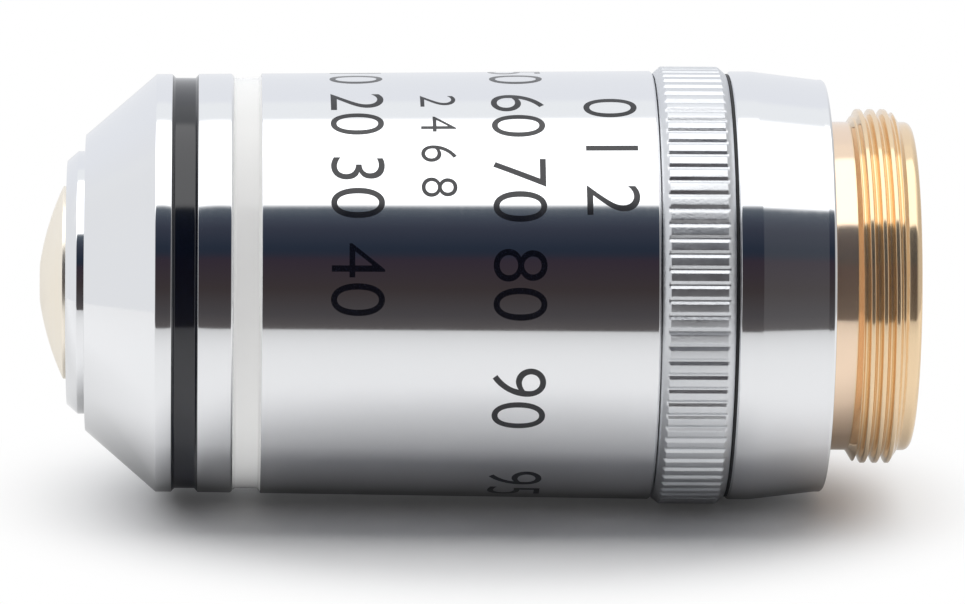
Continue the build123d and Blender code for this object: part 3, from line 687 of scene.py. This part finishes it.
class OBJECTIVE_OT_collar(bpy.types.Operator):
    """Knurled iris collar and the friction washer behind it"""

    bl_idname = "objective.collar"
    bl_label = "Iris collar"

    def execute(self, context):
        sizes = context.scene.objective_sizes
        bore = BODY_TUBE_RADIUS + RUNNING
        rim = COLLAR_RADIUS - COLLAR_CHAMFER_DEPTH
        floor = COLLAR_RADIUS - sizes.knurl_depth
        run_out = COLLAR_CHAMFER_WIDTH * (floor - rim) / COLLAR_CHAMFER_DEPTH
        pitch = tau / sizes.knurl_count
        mouth = sizes.knurl_width / 2 / COLLAR_RADIUS
        flat = sizes.knurl_floor / 2 / COLLAR_RADIUS
        land = (pitch - 2 * mouth) / 3
        corners = (-flat, flat, mouth, mouth + land, mouth + 2 * land, mouth + 3 * land)
        piece = turn(context, "iris_collar_knurled", [
            (bore, COLLAR_Z),
            (rim, COLLAR_Z),
            (floor, COLLAR_Z + run_out),
            (COLLAR_RADIUS, COLLAR_Z + COLLAR_CHAMFER_WIDTH),
            (COLLAR_RADIUS, COLLAR_TOP - COLLAR_CHAMFER_WIDTH),
            (floor, COLLAR_TOP - run_out),
            (rim, COLLAR_TOP),
            (bore, COLLAR_TOP),
        ], sides=sizes.knurl_count * len(corners))
        for vertex in piece.data.vertices:
            radius = hypot(vertex.co.x, vertex.co.y)
            bearing = atan2(vertex.co.y, vertex.co.x)
            tooth, corner = divmod(round(bearing / pitch * len(corners)), len(corners))
            bearing = tooth * pitch + corners[corner]
            if radius > COLLAR_RADIUS - FIT and corner < 2:
                radius = floor
            vertex.co.x = radius * cos(bearing)
            vertex.co.y = radius * sin(bearing)
        break_edges(piece, sizes.edge / 2)
        cut(piece, radial_cutter(
            DRIVE_PIN_RADIUS + FIT, bore - FIT, DRIVE_PIN_END + FIT, DRIVE_Z, pi / 2
        ))
        even_shading(piece)
        place(context, piece, "collar", "knurled_chrome", "chrome_plate", "iris_collar")
        inner = BODY_TUBE_RADIUS + FIT
        top = high("collar_washer")
        turned_piece(context, "collar_washer", [
            (inner, WASHER_Z), (WASHER_RADIUS, WASHER_Z), (WASHER_RADIUS, top), (inner, top),
        ], "body", "black_fibre", "black_fibre")
        return {"FINISHED"}


def barrel_radius(height):
    """Outer radius of the barrel, which narrows a little towards the nose."""
    return BODY_RADIUS - (BODY_RADIUS - NOSE_RADIUS) * (height - BARREL_Z) / (BARREL_TOP - BARREL_Z)


class OBJECTIVE_OT_barrel(bpy.types.Operator):
    """Chromed barrel and its two enamel bands"""

    bl_idname = "objective.barrel"
    bl_label = "Barrel and bands"

    def execute(self, context):
        bore = BODY_TUBE_RADIUS + FIT
        groove = ENAMEL_RADIUS - ENAMEL_THICKNESS
        land_z = high("white_band")
        turned_piece(context, "barrel", [
            (bore, BARREL_Z),
            (BODY_RADIUS - EDGE_BREAK, BARREL_Z),
            (BODY_RADIUS, BARREL_Z + EDGE_BREAK),
            (barrel_radius(low("white_band")), low("white_band")),
            (groove, low("white_band")),
            (groove, land_z),
            (barrel_radius(land_z) - EDGE_BREAK, land_z),
            (barrel_radius(land_z), land_z + EDGE_BREAK),
            (barrel_radius(low("black_band")), low("black_band")),
            (groove, low("black_band")),
            (groove, BARREL_TOP),
            (bore, BARREL_TOP),
        ], "body", "chrome_plate", "chrome_plate")
        # the enamel climbs the walls of its groove on both sides
        for band in ("white_band", "black_band"):
            front_break = EDGE_BREAK if band == "white_band" else 0
            rear = barrel_radius(low(band)) - ENAMEL_MARGIN
            front = barrel_radius(high(band)) - front_break - ENAMEL_MARGIN
            turned_piece(context, band, [
                (groove, low(band)),
                (rear, low(band)),
                (ENAMEL_RADIUS, low(band) + ENAMEL_FILLET),
                (ENAMEL_RADIUS, high(band) - ENAMEL_FILLET),
                (front, high(band)),
                (groove, high(band)),
            ], "body", band.replace("band", "enamel"), band.replace("band", "enamel"))
        return {"FINISHED"}


class OBJECTIVE_OT_numbers(bpy.types.Operator):
    """Plain figures filled with paint round the barrel"""

    bl_idname = "objective.numbers"
    bl_label = "Numbers"

    # figures, bearing of the first one up from the front, foot above the barrel's rear edge
    ROWS = (
        ("10 20 30 40", 104.0, 18.44 * MM, "number_height"),
        ("2 4 6 8", 76.0, 13.39 * MM, "small_number_height"),
        ("50 60 70 80  90   95", 103.0, 9.39 * MM, "number_height"),
        ("0 1 2", 74.0, 4.19 * MM, "number_height"),
    )
    # the flat figures are cut into strips of this width, so that they bend round the barrel
    STRIP_WIDTH = 0.2 * MM
    # in parts of the text size: thinner strokes, thickness while flat, points that are one
    THINNER = -0.008
    SLAB = 0.1
    MERGED = 0.0005
    # edges sharper than this stay crisp
    CRISP = radians(30)

    def execute(self, context):
        sizes = context.scene.objective_sizes
        for index, (words, start, foot, height_name) in enumerate(self.ROWS):
            clear_selection()
            bpy.ops.object.text_add()
            text = context.object
            text.data.body = words
            text.data.fill_mode = "FRONT"
            text.data.offset = self.THINNER
            bpy.ops.object.convert(target="MESH")
            piece = context.object
            piece.name = piece.data.name = "numbers_%d" % (index + 1)
            tall = max(v.co.y for v in piece.data.vertices)
            wide = max(v.co.x for v in piece.data.vertices)
            scale = getattr(sizes, height_name) / tall
            bpy.ops.object.mode_set(mode="EDIT")
            bpy.ops.mesh.select_all(action="SELECT")
            bpy.ops.mesh.remove_doubles(threshold=self.MERGED)
            strips = int(wide * scale / self.STRIP_WIDTH)
            for strip in range(1, strips):
                bpy.ops.mesh.select_all(action="SELECT")
                bpy.ops.mesh.bisect(plane_co=(wide * strip / strips, 0, 0), plane_no=(1, 0, 0))
            bpy.ops.object.mode_set(mode="OBJECT")
            thicken = piece.modifiers.new("Paint", "SOLIDIFY")
            thicken.thickness = self.SLAB
            thicken.offset = -1
            bpy.ops.object.modifier_apply(modifier=thicken.name)
            bpy.ops.object.mode_set(mode="EDIT")
            face_outwards()
            for vertex in piece.data.vertices:
                bearing = radians(start) - vertex.co.x * scale / BODY_RADIUS
                face = vertex.co.z > -self.SLAB / 2
                proud = sizes.number_rise if face else -sizes.number_sink
                height = BARREL_Z + foot - vertex.co.y * scale
                radius = barrel_radius(height) + proud
                vertex.co = (radius * sin(bearing), -radius * cos(bearing), height)
            bpy.ops.object.shade_smooth_by_angle(angle=self.CRISP)
            place(context, piece, "body", "engraving_paint", "black_enamel")
        return {"FINISHED"}


class OBJECTIVE_OT_nose(bpy.types.Operator):
    """Chromed nose cone and the sprung nose cap inside it"""

    bl_idname = "objective.nose"
    bl_label = "Nose"

    def execute(self, context):
        cone_z = BARREL_TOP + NOSE_LAND
        hole = CAP_RADIUS + NOSE_CLEARANCE
        turned_piece(context, "nose_cone", [
            (FRONT_BORE, CONE_FOOT_Z),
            (BODY_TUBE_RADIUS, CONE_FOOT_Z),
            (BODY_TUBE_RADIUS, BARREL_TOP),
            (NOSE_RADIUS, BARREL_TOP),
            (NOSE_RADIUS, cone_z),
            (hole + NOSE_LIP_WIDTH, CONE_TOP),
            (hole, CONE_TOP),
            (hole, CONE_TOP - NOSE_LIP_THICKNESS),
            (FRONT_BORE, cone_z),
        ], "body", "chrome_plate", "chrome_plate")
        seat = CAP_FOOT_Z + CAP_SPIGOT_LENGTH
        turned_piece(context, "nose_cap", [
            (STEM_HOLE, CAP_FOOT_Z),
            (STACK_RADIUS, CAP_FOOT_Z),
            (STACK_RADIUS, seat),
            (CAP_RADIUS, seat),
            (CAP_RADIUS, CAP_TOP - CAP_CHAMFER_LENGTH),
            (CAP_RADIUS - CAP_CHAMFER_DEPTH, CAP_TOP),
            (STEM_HOLE, CAP_TOP),
        ], "carriage", "chrome_plate", "chrome_plate")
        return {"FINISHED"}


class OBJECTIVE_OT_front_cell(bpy.types.Operator):
    """Gilded front cell and the front lens in its tip"""

    bl_idname = "objective.front_cell"
    bl_label = "Front cell and lens"

    BALL_END = radians(177)

    def execute(self, context):
        centre = TIP_Z - sqrt(BALL_RADIUS**2 - BALL_FLAT_RADIUS**2)
        pocket = BALL_RADIUS + FIT
        rim_top = CAP_TOP + CELL_RIM_HEIGHT
        opening = atan(sqrt(pocket**2 - (TIP_Z - centre) ** 2) / (TIP_Z - centre))
        steps = ROUND_STEPS // 2
        socket = [opening + (pi / 2 - opening) * i / steps for i in range(steps + 1)]
        rim = (CELL_RIM_RADIUS, rim_top)
        tip = (CELL_TIP_RADIUS, TIP_Z)
        crown = ((rim[0] + tip[0]) / 2, (rim[1] + tip[1]) / 2 + CELL_DOME_BULGE)
        turned_piece(context, "front_cell", [
            *((pocket * sin(a), centre + pocket * cos(a)) for a in socket),
            (pocket, centre - pocket),
            (LIGHT_CONE_RADIUS, CELL_FOOT_Z),
            (STEM_HOLE - FIT, CELL_FOOT_Z),
            (STEM_HOLE - FIT, CAP_TOP),
            (CELL_RIM_RADIUS, CAP_TOP),
            *arc(rim, crown, tip, ROUND_STEPS),
        ], "carriage", "gilt_brass", "gilt_brass")
        flat = atan(BALL_FLAT_RADIUS / (TIP_Z - centre))
        sweep = self.BALL_END - flat
        ball = [flat + sweep * i / ROUND_STEPS for i in range(ROUND_STEPS + 1)]
        turned_piece(context, "front_lens", [
            (BALL_RADIUS * sin(a), centre + BALL_RADIUS * cos(a)) for a in ball
        ], "carriage", "lens_glass", "lens_glass", filled=True)
        return {"FINISHED"}


class OBJECTIVE_OT_spring(bpy.types.Operator):
    """Coil spring on the ledge"""

    bl_idname = "objective.spring"
    bl_label = "Nose spring"

    WIRE = 0.9 * MM
    TURNS = 5
    STEPS = 72
    SHARP = radians(30)

    def execute(self, context):
        foot, head = low("nose_spring"), high("nose_spring")
        clear_selection()
        bpy.ops.mesh.primitive_plane_add(
            size=self.WIRE, rotation=(pi / 2, 0, 0),
            location=(reach("nose_spring") - self.WIRE / 2, 0, foot + self.WIRE / 2),
        )
        piece = context.object
        piece.name = piece.data.name = "nose_spring_coil"
        bpy.ops.object.transform_apply(location=True, rotation=True, scale=True)
        bpy.ops.object.mode_set(mode="EDIT")
        bpy.ops.mesh.delete(type="ONLY_FACE")
        bpy.ops.object.mode_set(mode="OBJECT")
        coil = piece.modifiers.new("Coil", "SCREW")
        coil.axis = "Z"
        coil.screw_offset = (head - foot - self.WIRE) / self.TURNS
        coil.iterations = self.TURNS
        coil.steps = coil.render_steps = self.STEPS
        bpy.ops.object.modifier_apply(modifier=coil.name)
        bpy.ops.object.mode_set(mode="EDIT")
        bpy.ops.mesh.select_all(action="SELECT")
        bpy.ops.mesh.fill_holes(sides=4)
        face_outwards()
        break_edges(piece, context.scene.objective_sizes.edge, self.SHARP)
        even_shading(piece)
        place(context, piece, "body", "spring_steel", "spring_steel", "nose_spring")
        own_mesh(piece)
        return {"FINISHED"}


class OBJECTIVE_OT_inside(bpy.types.Operator):
    """Finishes of the iris, the lens stack and the other pieces inside"""

    bl_idname = "objective.inside"
    bl_label = "Inner pieces"

    def execute(self, context):
        for part in frame["record"]["subparts"]:
            piece = frame["nodes"][part["node"]]
            piece.data.materials.clear()
            piece.data.materials.append(finish_of(context, part["material_slot"]))
        return {"FINISHED"}


class OBJECTIVE_OT_stage(bpy.types.Operator):
    """Floor, backdrop, studio light and camera"""

    bl_idname = "objective.stage"
    bl_label = "Stage"

    # front, back, bottom and top edge of the card
    CARD_EDGES = (-78 * MM, 160 * MM, -90 * MM, 150 * MM)
    FLOOR_RADIUS = 160 * MM
    FLOOR_SIDES = 64
    # the floor comes in between these cosines of the view to its upright
    FLOOR_SEEN = (0.12, 0.2)
    # the paper shows its shadow up to the near distance and is white past the far one, both
    # measured on an ellipse with this middle and stretch; in between, a painted white glow lifts
    # the shadow
    SHADOW_MIDDLE = 24.0 * MM
    SHADOW_STRETCH = 0.82
    SHADOW_NEAR = 19.5 * MM
    SHADOW_FAR = 28.6 * MM
    # share of that white in the mirrors, then start, end and depth of the painted shades along Y: a
    # painted shadow near the contact line, and painted shade that dims the mirrored paper towards
    # its front edge
    MIRRORED_SHARE = 0.75
    MIRRORED_PAINTED_SHADOW = (-10 * MM, -3 * MM, 0.6)
    MIRRORED_PAINTED_FAR_SHADE = (-12 * MM, -78 * MM, 0.37)
    FLOOR_WHITE = 0.8
    # start, end and depth of painted shade that darkens the card's matt colour towards its front
    # edge
    CARD_PAINTED_SHADE = (-35 * MM, -78 * MM, 0.3)
    # how far the light on paper leans back, then the lamp by the camera
    LAMP_LEAN = radians(12)
    FILL_PLACE = (0.03, -0.4, 0.03)
    FILL_SIZE = 0.12
    FILL_WATTS = 0.36
    # colour of each end wall, and the Z of a ray where it starts and where it is full
    NOSE_WALL = ("EEEFF1", 0.55, 0.9)
    MOUNT_WALL = ("C8C8C8", -0.2, -0.9)
    # camera: height above the side, turns off its line, distance, place along the axis and lens
    RAISED = radians(14.0)
    YAW, PITCH, ROLL = radians(2.03), radians(0.128), radians(0.25)
    AWAY = 455 * MM
    ABREAST_Z = 40.55 * MM
    SENSOR_MM = 36
    LENS_MM = 296.9534
    NEAREST = 10 * MM
    # bearing up from the front, colour and level of what the mirrors see there
    BANDS = (
        (-180, "F0F2F6", 1.0), (-100, "C0C0C0", 1.0), (-60, "5A5656", 1.0), (-10, "5A5656", 1.0),
        (-3, "4B484A", 1.0), (11, "3D3637", 1.0), (27, "362E38", 1.0), (30, "2A2F3C", 1.0),
        (33, "272F3D", 1.0), (44, "383C49", 1.0), (50, "464C58", 1.0), (56, "626A72", 1.0),
        (58, "FFFFFF", 1.75), (113, "FFFFFF", 1.75), (116, "F8FAFC", 1.0), (130, "F8FAFC", 1.0),
        (134, "F0F2F7", 1.0), (180, "F0F2F6", 1.0),
    )

    def execute(self, context):
        self.card(context)
        self.light(context)
        self.camera(context)
        return {"FINISHED"}

    def card(self, context):
        """Pale floor under the mount and a pale card along the side of the barrel."""
        shade = opaque(context.scene.objective_colours.floor)
        card_finish = self.paper("matt_white_card", shade)
        clear_selection()
        front, back, bottom, top = self.CARD_EDGES
        bpy.ops.mesh.primitive_plane_add(
            size=1, location=(-COLLAR_RADIUS, (front + back) / 2, (bottom + top) / 2),
            rotation=(0, pi / 2, 0),
        )
        card = context.object
        card.name = "backdrop_card"
        card.data.materials.append(card_finish)
        bpy.ops.transform.resize(value=(1, back - front, top - bottom))
        bpy.ops.object.transform_apply(location=True, rotation=True, scale=True)

        clear_selection()
        bpy.ops.mesh.primitive_circle_add(
            vertices=self.FLOOR_SIDES, radius=self.FLOOR_RADIUS, fill_type="NGON"
        )
        floor = context.object
        floor.name = "floor"
        floor.data.materials.append(self.paper("matt_white_floor", shade, only_camera=True))

    def paper(self, name, shade, only_camera=False):
        """Matt paper that takes the shadow near the object and fades to white away from it, with
        painted light and shade: a white glow that lifts the shadow's edge, shade towards the front
        edge, and a contact shadow painted into the mirrors.
        """
        material, tree = blank(name)
        coords = node(tree, "ShaderNodeTexCoord")
        stretch = Vector((1, 1, self.SHADOW_STRETCH))
        squeezed = node(
            tree, "ShaderNodeVectorMath",
            {0: coords.outputs["Object"], 1: stretch}, operation="MULTIPLY",
        )
        away = node(
            tree, "ShaderNodeVectorMath",
            {0: squeezed.outputs["Vector"], 1: (0, 0, self.SHADOW_MIDDLE * self.SHADOW_STRETCH)},
            operation="DISTANCE",
        )
        # painted light: between the near and far distances a white glow washes out the real shadow
        fade = node(
            tree, "ShaderNodeMapRange",
            {"Value": away.outputs["Value"], "From Min": self.SHADOW_NEAR,
             "From Max": self.SHADOW_FAR, "To Min": self.FLOOR_WHITE if only_camera else 0.0},
            interpolation_type="SMOOTHSTEP",
        )
        path = node(tree, "ShaderNodeLightPath")
        seen = node(
            tree, "ShaderNodeMath",
            {0: path.outputs["Is Camera Ray"], 1: path.outputs["Is Transmission Ray"]},
            operation="MAXIMUM",
        )
        shared = node(
            tree, "ShaderNodeMath",
            {0: path.outputs["Is Glossy Ray"], 1: self.MIRRORED_SHARE,
             2: seen.outputs["Value"]}, operation="MULTIPLY_ADD",
        )
        white = node(
            tree, "ShaderNodeMath",
            {0: fade.outputs["Result"], 1: shared.outputs["Value"]}, operation="MULTIPLY",
            use_clamp=True,
        )
        axes = node(tree, "ShaderNodeSeparateXYZ", {"Vector": coords.outputs["Object"]})
        # painted shade: the matt colour darkens towards the card's front edge
        start, end, depth = self.CARD_PAINTED_SHADE
        painted_front_shade = node(
            tree, "ShaderNodeMapRange",
            {"Value": axes.outputs["Y"], "From Min": start, "From Max": end, "To Max": depth},
        )
        # painted shadow: in the mirrors the paper darkens near the contact line under the barrel
        start, end, depth = self.MIRRORED_PAINTED_SHADOW
        below = node(
            tree, "ShaderNodeMapRange",
            {"Value": axes.outputs["Y"], "From Min": start, "From Max": end, "To Max": depth},
        )
        mirrored = node(
            tree, "ShaderNodeMath",
            {0: below.outputs["Result"], 1: path.outputs["Is Glossy Ray"]}, operation="MULTIPLY",
        )
        # the deeper of the two painted shades darkens the matt colour
        painted_shade = node(
            tree, "ShaderNodeMath",
            {0: painted_front_shade.outputs["Result"], 1: mirrored.outputs["Value"]}, operation="MAXIMUM",
        )
        shaded_paper_colour = node(
            tree, "ShaderNodeMix",
            {"Factor": painted_shade.outputs["Value"], "A": shade, "B": (0, 0, 0, 1)}, data_type="RGBA",
        )
        matt = node(tree, "ShaderNodeBsdfDiffuse", {"Color": shaded_paper_colour.outputs["Result"]})
        # painted shade: in the mirrors the white glow dims towards the card's front edge
        start, end, depth = self.MIRRORED_PAINTED_FAR_SHADE
        painted_far_level = node(
            tree, "ShaderNodeMapRange",
            {"Value": path.outputs["Is Glossy Ray"], "To Min": 1.0, "To Max": 1 - depth},
        )
        strength = node(
            tree, "ShaderNodeMapRange",
            {"Value": axes.outputs["Y"], "From Min": start, "From Max": end, "To Min": 1.0,
             "To Max": painted_far_level.outputs["Result"]},
        )
        glow = node(tree, "ShaderNodeEmission", {"Strength": strength.outputs["Result"]})
        pale = node(
            tree, "ShaderNodeMixShader",
            {0: white.outputs["Value"], 1: matt.outputs["BSDF"], 2: glow.outputs["Emission"]},
        )
        side = node(tree, "ShaderNodeNewGeometry")
        hidden = side.outputs["Backfacing"]
        if only_camera:
            # seen edge-on the floor is left out, so that it doesn't cut the card's shadow
            slope = node(
                tree, "ShaderNodeVectorMath",
                {0: side.outputs["Incoming"], 1: side.outputs["Normal"]}, operation="DOT_PRODUCT",
            )
            start, end = self.FLOOR_SEEN
            facing = node(
                tree, "ShaderNodeMapRange",
                {"Value": slope.outputs["Value"], "From Min": start, "From Max": end,
                 "To Max": path.outputs["Is Camera Ray"]}, interpolation_type="SMOOTHSTEP",
            )
            unseen = node(
                tree, "ShaderNodeMath",
                {0: 1.0, 1: facing.outputs["Result"]}, operation="SUBTRACT",
            )
            either = node(
                tree, "ShaderNodeMath", {0: hidden, 1: unseen.outputs["Value"]}, operation="MAXIMUM"
            )
            hidden = either.outputs["Value"]
        clear = node(tree, "ShaderNodeBsdfTransparent")
        shown = node(
            tree, "ShaderNodeMixShader",
            {0: hidden, 1: pale.outputs["Shader"], 2: clear.outputs["BSDF"]},
        )
        node(tree, "ShaderNodeOutputMaterial", {"Surface": shown.outputs["Shader"]})
        return material

    def light(self, context):
        """Softbox above, dark room in front, pale walls behind and beyond the nose."""
        world = bpy.data.worlds.new("studio")
        context.scene.world = world
        world.use_nodes = True
        tree = world.node_tree
        tree.nodes.clear()
        coords = node(tree, "ShaderNodeTexCoord")
        axes = node(tree, "ShaderNodeSeparateXYZ", {"Vector": coords.outputs["Generated"]})
        front = node(
            tree, "ShaderNodeMath", {0: axes.outputs["Y"], 1: -1.0}, operation="MULTIPLY"
        )
        rise = node(
            tree, "ShaderNodeMath",
            {0: axes.outputs["X"], 1: front.outputs["Value"]}, operation="ARCTAN2",
        )
        # paper and enamel take the light from a little further back than the mirrors show it
        path = node(tree, "ShaderNodeLightPath")
        mirrored = path.outputs["Is Glossy Ray"]
        lean = node(
            tree, "ShaderNodeMapRange",
            {"Value": mirrored, "To Min": -self.LAMP_LEAN, "To Max": 0.0},
        )
        bearing = node(
            tree, "ShaderNodeMath",
            {0: rise.outputs["Value"], 1: lean.outputs["Result"]}, operation="ADD",
        )
        share = node(
            tree, "ShaderNodeMapRange",
            {"Value": bearing.outputs["Value"], "From Min": -pi, "From Max": pi},
        )
        bands = node(tree, "ShaderNodeValToRGB", {"Fac": share.outputs["Result"]})
        ramp = bands.color_ramp
        while len(ramp.elements) < len(self.BANDS):
            ramp.elements.new(0.5)
        for element, (angle, code, level) in zip(ramp.elements, self.BANDS):
            element.position = (angle + 180) / 360
            element.color = opaque([level * part for part in linear(code)])
        # the walls past the two ends are for the mirrors only, so that the shadow stays deep
        around = bands.outputs["Color"]
        for code, start, end in (self.NOSE_WALL, self.MOUNT_WALL):
            reached = node(
                tree, "ShaderNodeMapRange",
                {"Value": axes.outputs["Z"], "From Min": start, "From Max": end,
                 "To Max": mirrored}, interpolation_type="SMOOTHSTEP",
            )
            walled = node(
                tree, "ShaderNodeMix",
                {"Factor": reached.outputs["Result"], "A": around, "B": opaque(linear(code))},
                data_type="RGBA",
            )
            around = walled.outputs["Result"]
        shown = node(
            tree, "ShaderNodeMix",
            {"Factor": path.outputs["Is Camera Ray"], "A": around, "B": (1, 1, 1, 1)},
            data_type="RGBA",
        )
        sky = node(tree, "ShaderNodeBackground", {"Color": shown.outputs["Result"]})
        node(tree, "ShaderNodeOutputWorld", {"Surface": sky.outputs["Background"]})
        context.scene.view_settings.view_transform = "Standard"
        # a soft lamp by the camera lifts enamel and paper, and is kept out of the mirrors
        clear_selection()
        bpy.ops.object.light_add(type="AREA", location=self.FILL_PLACE)
        lamp = context.object
        lamp.data.size = self.FILL_SIZE
        lamp.data.energy = self.FILL_WATTS
        lamp.visible_glossy = False
        aim = Vector((0, 0, COLLAR_TOP)) - lamp.location
        lamp.rotation_euler = aim.to_track_quat("-Z", "Y").to_euler()

    def camera(self, context):
        """Long lens in front of the barrel, turned on its side so that the nose points left."""
        ahead = Vector((-sin(self.RAISED), cos(self.RAISED), 0))
        up = Vector((cos(self.RAISED), sin(self.RAISED), 0))
        right = Vector((0, 0, -1))
        location = Vector((0, 0, self.ABREAST_Z)) - ahead * self.AWAY
        c, s = cos(self.YAW), sin(self.YAW)
        ahead, right = ahead * c + right * s, right * c - ahead * s
        c, s = cos(self.PITCH), sin(self.PITCH)
        ahead, up = ahead * c - up * s, up * c + ahead * s
        c, s = cos(self.ROLL), sin(self.ROLL)
        right, up = right * c + up * s, up * c - right * s
        clear_selection()
        bpy.ops.object.camera_add()
        camera = context.object
        camera.matrix_world = Matrix.LocRotScale(
            location, Matrix((right, up, -ahead)).transposed().to_quaternion(), None
        )
        camera.data.sensor_width = self.SENSOR_MM
        camera.data.lens = self.LENS_MM
        camera.data.clip_start = self.NEAREST
        context.scene.camera = camera


class OBJECTIVE_PT_panel(bpy.types.Panel):
    """Objective"""

    bl_idname = "OBJECTIVE_PT_panel"
    bl_label = "Microscope objective"
    bl_space_type = "VIEW_3D"
    bl_region_type = "UI"
    bl_category = "Objective"

    def draw(self, context):
        for group in (context.scene.objective_sizes, context.scene.objective_colours):
            for name in group.bl_rna.properties.keys():
                if name not in ("rna_type", "name"):
                    self.layout.prop(group, name)
        for operator in OPERATORS:
            self.layout.operator(operator.bl_idname)


OPERATORS = (
    OBJECTIVE_OT_mount,
    OBJECTIVE_OT_rear_body,
    OBJECTIVE_OT_collar,
    OBJECTIVE_OT_barrel,
    OBJECTIVE_OT_numbers,
    OBJECTIVE_OT_nose,
    OBJECTIVE_OT_front_cell,
    OBJECTIVE_OT_spring,
    OBJECTIVE_OT_inside,
    OBJECTIVE_OT_stage,
)
CLASSES = (ObjectiveSizes, ObjectiveColours, *OPERATORS, OBJECTIVE_PT_panel)


def register():
    """Add the panel, the operators and their settings."""
    for kind in CLASSES:
        bpy.utils.register_class(kind)
    bpy.types.Scene.objective_sizes = PointerProperty(type=ObjectiveSizes)
    bpy.types.Scene.objective_colours = PointerProperty(type=ObjectiveColours)


def unregister():
    """Take them away again."""
    del bpy.types.Scene.objective_colours
    del bpy.types.Scene.objective_sizes
    for kind in reversed(CLASSES):
        bpy.utils.unregister_class(kind)


def main():
    """Make every piece and the stage."""
    register()
    bpy.ops.objective.mount()
    bpy.ops.objective.rear_body()
    bpy.ops.objective.collar()
    bpy.ops.objective.barrel()
    bpy.ops.objective.numbers()
    bpy.ops.objective.nose()
    bpy.ops.objective.front_cell()
    bpy.ops.objective.spring()
    bpy.ops.objective.inside()
    bpy.ops.objective.stage()


if __name__ == "__main__":
    main()
